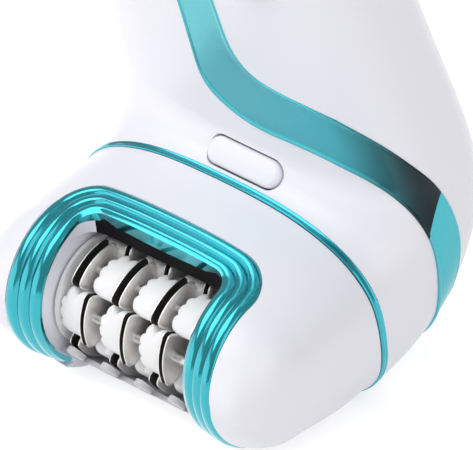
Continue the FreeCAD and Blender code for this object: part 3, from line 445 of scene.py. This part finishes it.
LIP_WALLS = [(11.0, 10.5), (12.3, 11.35)]    # inner and outer face of the lip, and where they are finished
NEAR_WALL, NEAR_SKIN, BESIDE, DARK_DEEP = 0.06, 0.4, 0.1, 6
for node in ("front_shell", "back_shell", "end_cap"):
    add_shell(node, BODY_SKIN, "grip")
housing = add_shell("head_housing", HEAD_SKIN, "head")
housing.data.materials.append(MOUTH_DARK)
for vertex in housing.data.vertices:
    x, y, z = vertex.co / MM
    reach = math.hypot(y - ROLLER_Y, z - ROLLER_Z)
    if abs(x) < MOUTH_HALF + BESIDE and y < ROLLER_Y - BESIDE and z < ROLLER_Z:
        for wall, moved in LIP_WALLS:
            if abs(reach - wall) < NEAR_WALL:
                vertex.co.yz = (ROLLER_Y * MM + (y - ROLLER_Y) * MM * moved / wall,
                                ROLLER_Z * MM + (z - ROLLER_Z) * MM * moved / wall)
# Faces inside the mouth take the near-black mouth_shadow material: a painted shadow.
for face in housing.data.polygons:
    middle = face.center / MM
    inside = abs(middle.x) < MOUTH_HALF + BESIDE and ROLLER_Y < middle.y < SPLIT - MOUTH_BACK + DARK_DEEP
    outer = (middle - skin_normal(HEAD_SKIN, middle)[0]).length < NEAR_SKIN
    if inside and not outer and face.normal.z < 0.95 and abs(face.normal.x) <= 0.5:
        face.material_index = 1

# %% [markdown]
# ## The plated trim
# The trim is one moulding with three rounded ridges that step down towards the mouth. It follows a bar
# behind the roller and two legs that wrap the nose. The ridges are a height over the head's outside, and
# a lining goes down into the mouth from their inner edge. One grid in two directions, along the path and
# across the ridges, makes the whole piece.

# %% Trim
ARC_X = MOUTH_HALF + TRIM_LEG / 2
turn_table = np.linspace(0.02, math.pi - 0.02, 1200)
arc_points = [head_point(ARC_X, t) for t in turn_table]
arc_table = np.concatenate([[0], np.cumsum([(b - a).length for a, b in zip(arc_points, arc_points[1:])])])


def arc_at_y(y):
    """Distance along the head's side outline where its top reaches y."""
    top = [i for i, turn in enumerate(turn_table) if turn < math.pi / 2]
    return float(np.interp(-y, [-arc_points[i].y for i in top], [arc_table[i] for i in top]))


def trim_outline(across, legs=70, corner=16, bar=60):
    """Path of the trim at a share across it, 0 at the mouth and 1 outside, as (x, distance) pairs."""
    side = MOUTH_HALF + TRIM_LEG * across
    radius = CORNER_IN + (CORNER_OUT - CORNER_IN) * across
    high = arc_at_y(SPLIT - MOUTH_BACK + TRIM_BAR * across)
    low_turn = next(t for t in turn_table if head_point(side, t).z < AXIS - MOUTH_FLOOR + 0.02)
    low = float(np.interp(low_turn, turn_table, arc_table))
    right = [(side, low + (high + radius - low) * i / legs) for i in range(legs)]
    right += [(side - radius + radius * math.cos(a), high + radius - radius * math.sin(a))
              for a in np.linspace(0, math.pi / 2, corner)]
    straight = [((side - radius) * (1 - 2 * i / bar), high) for i in range(1, bar)]
    return right + straight + [(-x, s) for x, s in reversed(right)]


RIDGE_FOOT, RIDGE_STEP, RIDGE_RISE = -1.14, 0.42, 0.62
SKIRT_IN = -0.06            # the lining stands a little inside the mouth, as a share of the width
SKIRT_BAR, SKIRT_LEG = 3.2, 1.5     # how deep the trim lines the mouth at the bar and at the legs
TRIM_ROOT, TRIM_STRIPS = -1.1, 36   # height of its hidden outer edge, and strips across the ridges


def ridge_height(across):
    """Height over the head's outside: three half-round ridges, stepping down to the mouth."""
    place = min(across, 0.9999) * 3
    ridge = int(place)
    local = 2 * (place - ridge) - 1
    return RIDGE_FOOT + RIDGE_STEP * ridge + RIDGE_RISE * math.sqrt(max(0, 1 - 0.97 * local * local))


def trim_line(across, height):
    """Points along the trim at a height over the head's outside, and the outside's normals there."""
    line = []
    for x, s in trim_outline(across):
        place = head_point(x, float(np.interp(s, arc_table, turn_table)))
        line.append((place, skin_normal(HEAD_SKIN, place)[1]))
    return [place + normal * height for place, normal in line], [normal for _, normal in line]


def trim_piece():
    edge, normals = trim_line(SKIRT_IN, 0)
    beside = trim_line(0.1, 0)[0]
    rim, lining = [], []
    for place, normal, other in zip(edge, normals, beside):
        wall = Vector((place.x - other.x, place.y - other.y, 0)).normalized()
        down = (-normal + wall * normal.dot(wall)).normalized()
        rim.append(place - down * ridge_height(0))
        lining.append(place + down * (SKIRT_LEG + (SKIRT_BAR - SKIRT_LEG) * abs(wall.y)))
    shares = [k / TRIM_STRIPS for k in range(1, TRIM_STRIPS + 1)]
    columns = [lining, rim] + [trim_line(share, ridge_height(share))[0] for share in shares]
    columns.append(trim_line(1, TRIM_ROOT)[0])
    count = len(rim)
    points, faces = closed_rings([[column[i] for column in columns] for i in range(count)])
    mesh = mesh_from("ridged_trim", points, faces)
    return finish_piece("ridged_trim", mesh, "head", PLATED, ["roller_frame"], smooth=50)


trim = trim_piece()
print("trim faces:", len(trim.data.polygons))

# %% [markdown]
# ## The thin ring at the split
# A narrow plated ring closes the body where the head comes off. Its section is a groove between two
# small beads, swept round the neck's outline.

# %% Split ring
RING_PROFILE = [(0.0, -1.2), (0.0, 0.06), (0.08, 0.2), (0.26, 0.26), (0.44, 0.16), (0.56, 0.02),
                (0.86, 0.0), (0.98, 0.1), (1.12, 0.16), (1.26, 0.1), (1.3, -0.02), (1.3, -1.2)]


def neck_ring(proud, y):
    ring = []
    lift = THROAT - math.sqrt(THROAT ** 2 - (y - SPLIT) ** 2)
    for j in range(TURNS):
        turn = 2 * math.pi * j / TURNS
        x = NECK_WIDE * sized_power(math.cos(turn), 2 / ROUND)
        z = NECK_DEEP * sized_power(math.sin(turn), 2 / ROUND)
        out = Vector((sized_power(x, ROUND - 1) / NECK_WIDE ** ROUND, 0,
                      sized_power(z, ROUND - 1) / NECK_DEEP ** ROUND))
        place = Vector((x, y, AXIS + z)) + out.normalized() * proud
        place.z = max(place.z + lift * max(0, math.sin(turn)), 0.0)
        ring.append(place)
    return ring


def split_ring_piece():
    rings = [neck_ring(proud, SPLIT + along) for along, proud in RING_PROFILE]
    points = [p for ring in rings for p in ring]
    mesh = mesh_from("neck_ring", points, grid_faces(len(rings), TURNS, close_rows=True, close_columns=True))
    return finish_piece("neck_ring", mesh, "grip", PLATED, ["split_ring"])


ring = split_ring_piece()
print("ring faces:", len(ring.data.polygons))

# %% [markdown]
# ## The lacquered band
# The band sweeps down the grip, turns along the throat and wraps the right flank. Its two edges are drawn
# as smooth lines on the body, and the sheet between them is laid on the guide surface, with a fine raised
# lip along the lower edge.

# %% Band
BAND_LOWER = [(-16, 140), (-14.5, 128), (-9.5, 105), (-6.6, 80), (-5.9, 62), (-5.8, 52), (-4.9, 46.5),
              (-1.5, 43.4), (4, 41.6), (12, 41.3), (18, 40.6), (22, 39.4)]
BAND_UPPER = [(-11, 140), (-9.5, 128), (-2.6, 105), (1.6, 80), (2.9, 63), (3.8, 57.4), (6, 54.2),
              (10, 52.6), (16, 51.6), (22, 50.2)]
FLANK_FRONT = [(1.4, 39.4), (3.4, 36.6), (4.9, 33.6), (6.2, 29.6), (7.2, 24), (7.3, 17), (6.8, 9), (6.0, 3)]
FLANK_BACK = [(-0.3, 50.2), (2.6, 46.4), (5.4, 42.2), (8.4, 37.4), (11.0, 31.5), (12.6, 24), (12.3, 18),
              (11.0, 10), (9.0, 3)]
GRIP_TOP = (SECTIONS[13][0] + SECTIONS[13][1]) / 2
GRIP_FOOT = (SECTIONS[8][0] + SECTIONS[8][1]) / 2
UP = (GRIP_TOP - GRIP_FOOT).normalized()
OUT = Vector((1, 0, 0)).cross(UP)
FLANK_STATION = 169             # where the band turns onto the flank


def sampled(points, first, last, count):
    """Points along the smooth line through a list, between two of its members."""
    steps = [0.0]
    for a, b in zip(points, points[1:]):
        steps.append(steps[-1] + math.dist(a, b))
    return natural_spline(steps, points, np.linspace(steps[first], steps[last], count))


def cast(start, way):
    hit = BODY_SKIN[0].ray_cast(Vector(start), Vector(way))[0]
    return hit if hit else BODY_SKIN[0].find_nearest(Vector(start))[0]


def band_edge(front, corner, flank):
    line = [cast((x, -200, z), (0, 1, 0)) for x, z in sampled(front, 0, corner, 90)]
    line += [cast((x, -200, z), (0, 1, 0)) for x, z in sampled(front, corner, len(front) - 1, 60)[1:]]
    line += [cast((200, y, z), (-1, 0, 0)) for y, z in sampled(flank, 0, len(flank) - 1, 60)[1:]]
    return line


BAND_PROUD, BAND_STRIPS = 0.17, 16
LOWER_LIP = [(-0.12, -0.85), (-0.12, 0.05), (-0.05, 0.24), (0.12, 0.36), (0.4, 0.38), (0.62, 0.3),
             (0.8, BAND_PROUD)]
UPPER_LIP = [(-0.4, BAND_PROUD), (-0.25, 0.24), (-0.05, 0.2), (0.12, 0.05), (0.12, -0.85)]


def band_piece():
    lower = band_edge(BAND_LOWER, 6, FLANK_FRONT)
    upper = band_edge(BAND_UPPER, 5, FLANK_BACK)
    kept = [i for i in range(len(lower)) if max((edge[i] - GRIP_TOP).dot(UP) for edge in (lower, upper)) < 0]
    rings = []
    for i in kept:
        wide = (upper[i] - lower[i]).length
        flat = LOWER_LIP[-1][0]
        across = wide - flat + UPPER_LIP[0][0]
        stops = LOWER_LIP + [(flat + across * k / BAND_STRIPS, BAND_PROUD) for k in range(1, BAND_STRIPS)]
        stops += [(wide + along, proud) for along, proud in UPPER_LIP]
        ring = []
        for along, proud in stops:
            place, normal, _ = skin_normal(BODY_SKIN, lower[i].lerp(upper[i], along / wide))
            ring.append(place + normal * proud)
        rings.append(ring)
    mesh = mesh_from("swept_band", *closed_rings(rings))
    piece = finish_piece("swept_band", mesh, "grip", BAND_LACQUER_AND_SHADE, ["coloured_band"])
    # Faces past the turn onto the flank take the flank finish, so the painted shade stays on the front.
    mesh.materials.append(FLANK_LACQUER)
    first = kept.index(FLANK_STATION) * len(rings[0])
    for face in mesh.polygons:
        face.material_index = int(face.index >= first)
    return piece


band = band_piece()
print("band faces:", len(band.data.polygons))

# %% [markdown]
# ## Button and switch
# Small moulded caps have soft rims. A stadium outline is repeated inwards and upwards along a rounded
# profile, which gives a cap with a real edge that catches a thin line of light.

# %% Small caps
def stadium(half_long, half_wide, count=64):
    """Outline with round ends, as (along, across) pairs."""
    radius = min(half_long, half_wide)
    points = []
    for j in range(count):
        turn = 2 * math.pi * j / count
        points.append((radius * math.cos(turn) + math.copysign(half_long - radius, math.cos(turn)),
                       radius * math.sin(turn)))
    return points


def soft_cap(half_long, half_wide, foot, top, rim, dish=0.0):
    """Rings of a cap from its foot to a softly rounded top, in local (along, across, up)."""
    rings = [[(a, c, foot) for a, c in stadium(half_long, half_wide)]]
    for k in range(7):
        turn = math.pi / 2 * k / 6
        inset = rim * (1 - math.cos(turn))
        rings.append([(a, c, top - rim + rim * math.sin(turn))
                      for a, c in stadium(half_long - inset, half_wide - inset)])
    for share in (0.35, 0.6, 0.8, 0.95):
        inset = rim + (half_wide - rim) * share
        rings.append([(a, c, top - dish * share) for a, c in stadium(half_long - inset, half_wide - inset)])
    return rings


BUTTON_TURN = math.radians(49)
BUTTON_OUT = Vector((0, -math.sin(BUTTON_TURN), math.cos(BUTTON_TURN)))
BUTTON_SIDE = BUTTON_OUT.cross(Vector((1, 0, 0)))
BUTTON_PLACE = Vector((1.5, SPLIT, AXIS + NECK_DEEP + THROAT)) - BUTTON_OUT * THROAT
BUTTON_SIZE = (7.5, 2.3, -2.4, 0.9, 0.75, -0.12)    # half length, half width, foot, top, rim and dish
cap_rings = [[BUTTON_PLACE + Vector((a, 0, 0)) + BUTTON_SIDE * c + BUTTON_OUT * h for a, c, h in r]
             for r in soft_cap(*BUTTON_SIZE)]
button = finish_piece("button_cap", mesh_from("button_cap", *closed_rings(cap_rings)), "release", SHELL,
                      ["release_button"], smooth=60)
print("button cap:", len(button.data.polygons), "faces")

# %% [markdown]
# ## Repeats
# Ribs, teeth and rows of blades are one shape set down again and again. A small geometry tree does that:
# it moves each copy by a step, turns it round a centre, makes the copies real and gives them a finish.
# The result is turned into a plain mesh, because a part carries meshes and no live trees.

# %% Repeat tree
def repeat_tree():
    tree = bpy.data.node_groups.new("repeat_round_centre", "GeometryNodeTree")
    for name, kind in (("Geometry", "Geometry"), ("Count", "Int"), ("Step", "Vector"), ("Turn", "Vector"),
                       ("Centre", "Vector"), ("Finish", "Material")):
        tree.interface.new_socket(name, in_out="INPUT", socket_type="NodeSocket" + kind)
    tree.interface.new_socket("Geometry", in_out="OUTPUT", socket_type="NodeSocketGeometry")
    nodes, links = tree.nodes, tree.links
    inputs, outputs = nodes.new("NodeGroupInput"), nodes.new("NodeGroupOutput")
    line, index = nodes.new("GeometryNodeMeshLine"), nodes.new("GeometryNodeInputIndex")
    line.mode = "OFFSET"
    to_middle, turn = nodes.new("ShaderNodeVectorMath"), nodes.new("ShaderNodeVectorMath")
    to_middle.operation = turn.operation = "SCALE"
    to_middle.inputs["Scale"].default_value = -1
    shift, rotation = nodes.new("GeometryNodeTransform"), nodes.new("FunctionNodeEulerToRotation")
    copies, real = nodes.new("GeometryNodeInstanceOnPoints"), nodes.new("GeometryNodeRealizeInstances")
    paint = nodes.new("GeometryNodeSetMaterial")
    for source, socket, target, place in (
            (inputs, "Count", line, "Count"), (inputs, "Centre", line, "Start Location"),
            (inputs, "Step", line, "Offset"), (inputs, "Centre", to_middle, 0),
            (to_middle, 0, shift, "Translation"), (inputs, "Geometry", shift, "Geometry"),
            (inputs, "Turn", turn, 0), (index, 0, turn, "Scale"),
            (turn, 0, rotation, 0), (rotation, 0, copies, "Rotation"), (line, 0, copies, "Points"),
            (shift, 0, copies, "Instance"), (copies, 0, real, "Geometry"), (real, 0, paint, "Geometry"),
            (inputs, "Finish", paint, "Material"), (paint, 0, outputs, "Geometry")):
        links.new(source.outputs[socket], target.inputs[place])
    return tree


REPEAT = repeat_tree()


def repeated(name, points, faces, material, count, step=(0, 0, 0), turn=(0, 0, 0), centre=(0, 0, 0)):
    """Plain mesh of a shape's copies, each a step (mm) and a turn (radians) further than the last."""
    source = bpy.data.objects.new(name + "_source", mesh_from(name + "_source", points, faces))
    bpy.context.scene.collection.objects.link(source)
    values = {"Count": count, "Step": Vector(step) * MM, "Turn": Vector(turn), "Centre": Vector(centre) * MM,
              "Finish": material}
    modifier = source.modifiers.new("repeat", "NODES")
    modifier.node_group = REPEAT
    for item in REPEAT.interface.items_tree:
        if item.in_out == "INPUT" and item.name in values:
            modifier[item.identifier] = values[item.name]
    mesh = bpy.data.meshes.new_from_object(source.evaluated_get(bpy.context.evaluated_depsgraph_get()))
    mesh.name = name
    mesh.materials.clear()
    source.modifiers.remove(modifier)
    bpy.data.objects.remove(source)
    return mesh


def joined(groups):
    points, faces = [], []
    for part_points, part_faces in groups:
        start = len(points)
        points += part_points
        faces += [tuple(k + start for k in face) for face in part_faces]
    return points, faces


print("repeat tree:", len(REPEAT.nodes), "nodes")

# %% [markdown]
# ## Ribs on the speed switch
# A thumb needs something to push against, so the switch carries a few rounded ribs across its cap. One rib
# is a tapered bar laid on the cap's outer face, and the tree repeats it along the grip.

# %% Switch ribs
RIB_HALF, RIB_ROUND, RIB_PITCH, RIB_COUNT = 2.3, 0.36, 1.25, 4
cap_points = [v.co / MM for v in NODES["speed_switch"].data.vertices]
cap_level = max(p.dot(OUT) for p in cap_points)
cap_face = [p for p in cap_points if p.dot(OUT) > cap_level - 0.2]
cap_middle = sum(((min(f) + max(f)) / 2 * way for way, f in (
    (Vector((1, 0, 0)), [p.x for p in cap_face]), (UP, [p.dot(UP) for p in cap_face]))), Vector())
rib_start = cap_middle + OUT * cap_level - UP * RIB_PITCH * (RIB_COUNT - 1) / 2
rib = []
for share in np.linspace(-1, 1, 11):
    girth = RIB_ROUND * max(0.25, 1 - abs(share) ** 6)
    rib.append([rib_start + Vector((RIB_HALF * share, 0, 0)) + (UP * math.cos(a) + OUT * math.sin(a)) * girth
                for a in np.linspace(0, 2 * math.pi, 16, endpoint=False)])
rib_mesh = repeated("switch_ribs", *closed_rings(rib), INNER, RIB_COUNT, step=UP * RIB_PITCH)
finish_piece("switch_ribs", rib_mesh, "speed_slide", INNER, smooth=60)
print("switch ribs:", RIB_COUNT, "on a face at", round(cap_level, 2), "mm")

# %% [markdown]
# ## The tweezer roller
# The roller carries six rows of lobed plastic blocks with pairs of thin steel plates between them. A block
# is one lobed outline stacked from the core to a crowned top; a plate is a curved blade with a thinned
# rim. Two neighbouring rows are built, and the tree sets them down three times round the axle.

# %% Roller shapes
CORE, TIP, CORE_HALF = 4.6, 10.0, 14.5
PITCH, BLOCK_LONG = 8.4, 4.2
ROWS, ROW_TURN, ROW_SHIFT, ROW_OFFSET = 6, math.radians(110), 1.9, 4.9
PLATE, PLATE_SEAT, PLATE_SWEEP = 0.45, 0.1, math.radians(64)
OPEN_GAP, SHUT_GAP = 1.0, 0.35
SUNK, RIM = 0.2, 0.5        # how far a blade's foot is sunk, and the height of its thinned rim
MEASURED = 9.0              # radius at which distances round the roller are measured
LOBES = [(1.95, -4.3), (2.1, -2.9), (2.1, 0.0), (2.1, 2.9), (1.85, 4.15), (1.2, 4.55), (0.4, 4.15), (0.0, 3.65),
         (-0.5, 4.25), (-1.2, 4.7), (-1.85, 4.2), (-2.1, 3.3), (-2.1, 2.75), (-2.6, 2.4), (-3.05, 1.8),
         (-3.0, 1.1), (-2.75, 0.7), (-3.1, 0.2), (-3.2, -0.7), (-3.0, -1.4), (-2.75, -1.8), (-3.05, -2.3),
         (-3.0, -3.4), (-2.4, -4.25), (-1.3, -4.65), (0.3, -4.7), (1.4, -4.6)]


def closed_smooth(points, count):
    """Points evenly spread on a closed curve through the given ones."""
    loop = points[-3:] + points + points[:3]
    steps = [0.0]
    for a, b in zip(loop, loop[1:]):
        steps.append(steps[-1] + math.dist(a, b))
    return natural_spline(steps, loop, np.linspace(steps[3], steps[3 + len(points)], count + 1)[:-1])


def on_roller(x, along, radius, row_turn):
    """Point at a distance along the roller's surface from a row's middle, towards the back."""
    turn = row_turn - along / MEASURED
    return Vector((x, ROLLER_Y + radius * math.cos(turn), ROLLER_Z + radius * math.sin(turn)))


def block_rings(middle, row_turn):
    outline = closed_smooth(LOBES, 72)
    stages = [(0.0, CORE - 0.3), (0.0, 8.0), (0.06, 8.35), (0.18, 8.64), (0.36, 8.85), (0.6, 8.98),
              (0.95, 9.06), (1.4, 9.1), (1.9, 9.12), (2.3, 9.13)]
    rings = []
    for inset, radius in stages:
        shrink = 1 - inset / 2.5
        ring = []
        for a, t in outline:
            x = min(max(middle + a * shrink, -CORE_HALF), CORE_HALF)
            ring.append(on_roller(x, t * shrink, radius, row_turn))
        rings.append(ring)
    return rings


def plate_rings(x0, row_turn, bow):
    """A blade from the core to the tip: curved along the roller, its corners round and its rim thinned."""
    rings = []
    for k in range(25):
        share = -1 + 2 * k / 24
        corner = max(0.0, (abs(share) - 0.75) / 0.25)
        tip = TIP - 2.4 * (1 - math.sqrt(max(0.0, 1 - corner ** 2)))
        ring = []
        for radius, side in ((CORE - SUNK, 0), (tip - RIM, 0), (tip, 0.3), (tip, 0.7), (tip - RIM, 1),
                             (CORE - SUNK, 1)):
            lean = bow * (0.4 * share * share + 0.25 * (1 - min(1, (TIP - radius) / 4)))
            turn = row_turn - PLATE_SWEEP / 2 * share
            ring.append(Vector((x0 + PLATE * side + lean, ROLLER_Y + radius * math.cos(turn),
                                ROLLER_Z + radius * math.sin(turn))))
        rings.append(ring)
    return rings


print("a block has", len(closed_smooth(LOBES, 72)), "points round")

# %% Roller pieces
blocks, fixed, moving = [], [], []
for row in range(2):
    row_turn = ROW_TURN + row * 2 * math.pi / ROWS
    shift = ROW_SHIFT - row * ROW_OFFSET
    gap = SHUT_GAP if row else OPEN_GAP
    for step in range(-2, 3):
        middle = step * PITCH + shift
        kept = min(middle + BLOCK_LONG / 2, CORE_HALF) - max(middle - BLOCK_LONG / 2, -CORE_HALF)
        if kept > BLOCK_LONG * 0.7:
            blocks.append(closed_rings(block_rings(middle, row_turn)))
        near = middle + BLOCK_LONG / 2 + PLATE_SEAT
        far = near + PLATE + gap
        if near > -CORE_HALF and near + PLATE < CORE_HALF:
            fixed.append(closed_rings(plate_rings(near, row_turn, 0.0)))
        if far > -CORE_HALF and far + PLATE < CORE_HALF:
            moving.append(closed_rings(plate_rings(far, row_turn, 0.5)))
for name, parts, material, node, slot in (
        ("lobed_blocks", blocks, BLOCK, "ribbed_blocks", "block_white"),
        ("blades_left", fixed, STEEL, "fixed_tweezer_plates", "blade_steel"),
        ("blades_right", moving, STEEL, "moving_tweezer_plates", "blade_steel")):
    mesh = repeated(name, *joined(parts), material, ROWS // 2, turn=(4 * math.pi / ROWS, 0, 0),
                    centre=(0, ROLLER_Y, ROLLER_Z))
    finish_piece(name, mesh, "roller", material, [node], smooth=45)
    # The left plates' faces towards +x, into the gap, take the near-black material: painted shade between the
    # plates.
    if name == "blades_left":
        mesh.materials.append(GAP_PAINTED_SHADE)
        for face in mesh.polygons:
            face.material_index = int(face.normal.x > 0.6)
    print(name, len(parts) * ROWS // 2, "parts,", len(mesh.polygons), "faces")

# %% [markdown]
# ## Teeth on the lower lip
# Small grey pads stand on the edge of the lip under each lower block and lead the hairs between the
# plates. One pad is a soft cap bent round the roller's axle, repeated along the lip.

# %% Lip teeth
TOOTH_TURN, TOOTH_FOOT, TOOTH_PITCH, TEETH = math.radians(214), 10.35, 7.2, 4
TOOTH_FIRST = -11.6                             # where the first pad stands along the lip
TOOTH_SIZE = (1.55, 1.5, 0.0, 0.9, 0.35)        # half length, half width, foot, top and rim
tooth = [[on_roller(a + TOOTH_FIRST, c, TOOTH_FOOT + h, TOOTH_TURN) for a, c, h in ring]
         for ring in soft_cap(*TOOTH_SIZE)]
teeth_mesh = repeated("lip_teeth", *closed_rings(tooth), INNER_PALE, TEETH, step=(TOOTH_PITCH, 0, 0))
finish_piece("lip_teeth", teeth_mesh, "head", INNER_PALE, smooth=60)
print("lip teeth:", len(teeth_mesh.polygons), "faces")

# %% [markdown]
# ## Studio
# A pale floor, a broad soft key from above and the left, and a pale surround. The floor is white for camera,
# glossy and transmission rays, the surround for camera and transmission rays; for the shading itself they stay
# at a plain level.

# %% Floor
def floor_material():
    material = bpy.data.materials.new("studio_floor")
    material.use_nodes = True
    nodes, links = material.node_tree.nodes, material.node_tree.links
    nodes.clear()
    output, mix = nodes.new("ShaderNodeOutputMaterial"), nodes.new("ShaderNodeAddShader")
    diffuse, glow = nodes.new("ShaderNodeBsdfDiffuse"), nodes.new("ShaderNodeEmission")
    diffuse.inputs["Color"].default_value = (0.8, 0.8, 0.8, 1)
    path = nodes.new("ShaderNodeLightPath")
    first, second = nodes.new("ShaderNodeMath"), nodes.new("ShaderNodeMath")
    level = nodes.new("ShaderNodeMath")
    first.operation = second.operation = "MAXIMUM"
    level.operation = "MULTIPLY"
    level.inputs[1].default_value = 0.55
    links.new(path.outputs["Is Camera Ray"], first.inputs[0])
    links.new(path.outputs["Is Glossy Ray"], first.inputs[1])
    links.new(first.outputs[0], second.inputs[0])
    links.new(path.outputs["Is Transmission Ray"], second.inputs[1])
    links.new(second.outputs[0], level.inputs[0])
    links.new(level.outputs[0], glow.inputs["Strength"])
    links.new(diffuse.outputs[0], mix.inputs[0])
    links.new(glow.outputs[0], mix.inputs[1])
    links.new(mix.outputs[0], output.inputs["Surface"])
    return material


floor_mesh = bpy.data.meshes.new("studio_floor")
half = 3.0
corners = [(-half, -half, 0), (half, -half, 0), (half, half, 0), (-half, half, 0)]
floor_mesh.from_pydata(corners, [], [(0, 1, 2, 3)])
floor = bpy.data.objects.new("studio_floor", floor_mesh)
bpy.context.scene.collection.objects.link(floor)
floor_mesh.materials.append(floor_material())
floor.location.z = -0.0002
print("floor", 2 * half, "m wide")

# %% Surround
world = bpy.data.worlds.new("studio")
bpy.context.scene.world = world
world.use_nodes = True
nodes, links = world.node_tree.nodes, world.node_tree.links
background = nodes["Background"]
background.inputs["Color"].default_value = (1, 1, 1, 1)
path = nodes.new("ShaderNodeLightPath")
seen = nodes.new("ShaderNodeMath")
seen.operation = "MAXIMUM"
links.new(path.outputs["Is Camera Ray"], seen.inputs[0])
links.new(path.outputs["Is Transmission Ray"], seen.inputs[1])
level = nodes.new("ShaderNodeMapRange")
level.inputs["To Min"].default_value = 0.5
level.inputs["To Max"].default_value = 1.0
links.new(seen.outputs[0], level.inputs["Value"])
links.new(level.outputs[0], background.inputs["Strength"])
print("surround ready")


# %% Lamps
def lamp(name, place, aim, size, power):
    data = bpy.data.lights.new(name, "AREA")
    data.shape = "RECTANGLE"
    data.size, data.size_y = size
    data.energy = power
    obj = bpy.data.objects.new(name, data)
    bpy.context.scene.collection.objects.link(obj)
    obj.location = place
    obj.rotation_euler = (Vector(aim) - Vector(place)).to_track_quat("-Z", "Y").to_euler()
    return obj


AIM = (0, -0.005, 0.03)
lamp("key", (-0.35, -0.35, 0.75), AIM, (0.7, 0.7), 3.6)
lamp("side", (0.7, -0.25, 0.35), AIM, (0.6, 0.9), 1.8)
lamp("back", (-0.3, 0.8, 0.5), AIM, (0.6, 0.3), 1.6)
lamp("front", (-0.4, -0.6, 0.1), AIM, (0.8, 0.4), 1.1)
print("lamps: key, side, back, front")

# %% [markdown]
# ## Camera
# A long lens looks down at the roller from the front right. The directions of the frame's own axes are
# worked out from azimuth, elevation and roll, and the camera stands far back along the line of sight.

# %% Camera
AZIMUTH, ELEVATION, ROLL = math.radians(47.406), math.radians(36.937), math.radians(7.210)
FRAME_WIDE, FRAME_HIGH, PER_MM = 473, 450, 6.4295   # the frame's size, and its steps to a millimetre
HEAD_RIGHT, HEAD_DOWN = 233.11, 269.05              # where the head's middle stands in the frame
FAR_BACK, SIGHT_END = 400, 10                       # millimetres to the aim, and metres of sight
right = Vector((math.cos(AZIMUTH), math.sin(AZIMUTH), 0))
upward = Vector((-math.sin(AZIMUTH) * math.sin(ELEVATION), math.cos(AZIMUTH) * math.sin(ELEVATION),
                 math.cos(ELEVATION)))
toward = right.cross(upward)
across = right * math.cos(ROLL) - upward * math.sin(ROLL)
above = right * math.sin(ROLL) + upward * math.cos(ROLL)
aim = Vector((0, SPLIT, AXIS))
aim += (across * (FRAME_WIDE / 2 - HEAD_RIGHT) + above * (HEAD_DOWN - FRAME_HIGH / 2)) / PER_MM
camera_data = bpy.data.cameras.new("camera")
camera_data.type = "ORTHO"
camera_data.ortho_scale = FRAME_WIDE / PER_MM * MM
camera = bpy.data.objects.new("camera", camera_data)
bpy.context.scene.collection.objects.link(camera)
turned = Matrix((across, above, toward)).transposed().to_4x4()
turned.translation = (aim + toward * FAR_BACK) * MM
camera.matrix_world = turned
camera_data.clip_end = SIGHT_END
bpy.context.scene.camera = camera
bpy.context.scene.view_settings.view_transform = "Standard"
print("camera at", [round(c, 3) for c in camera.location])
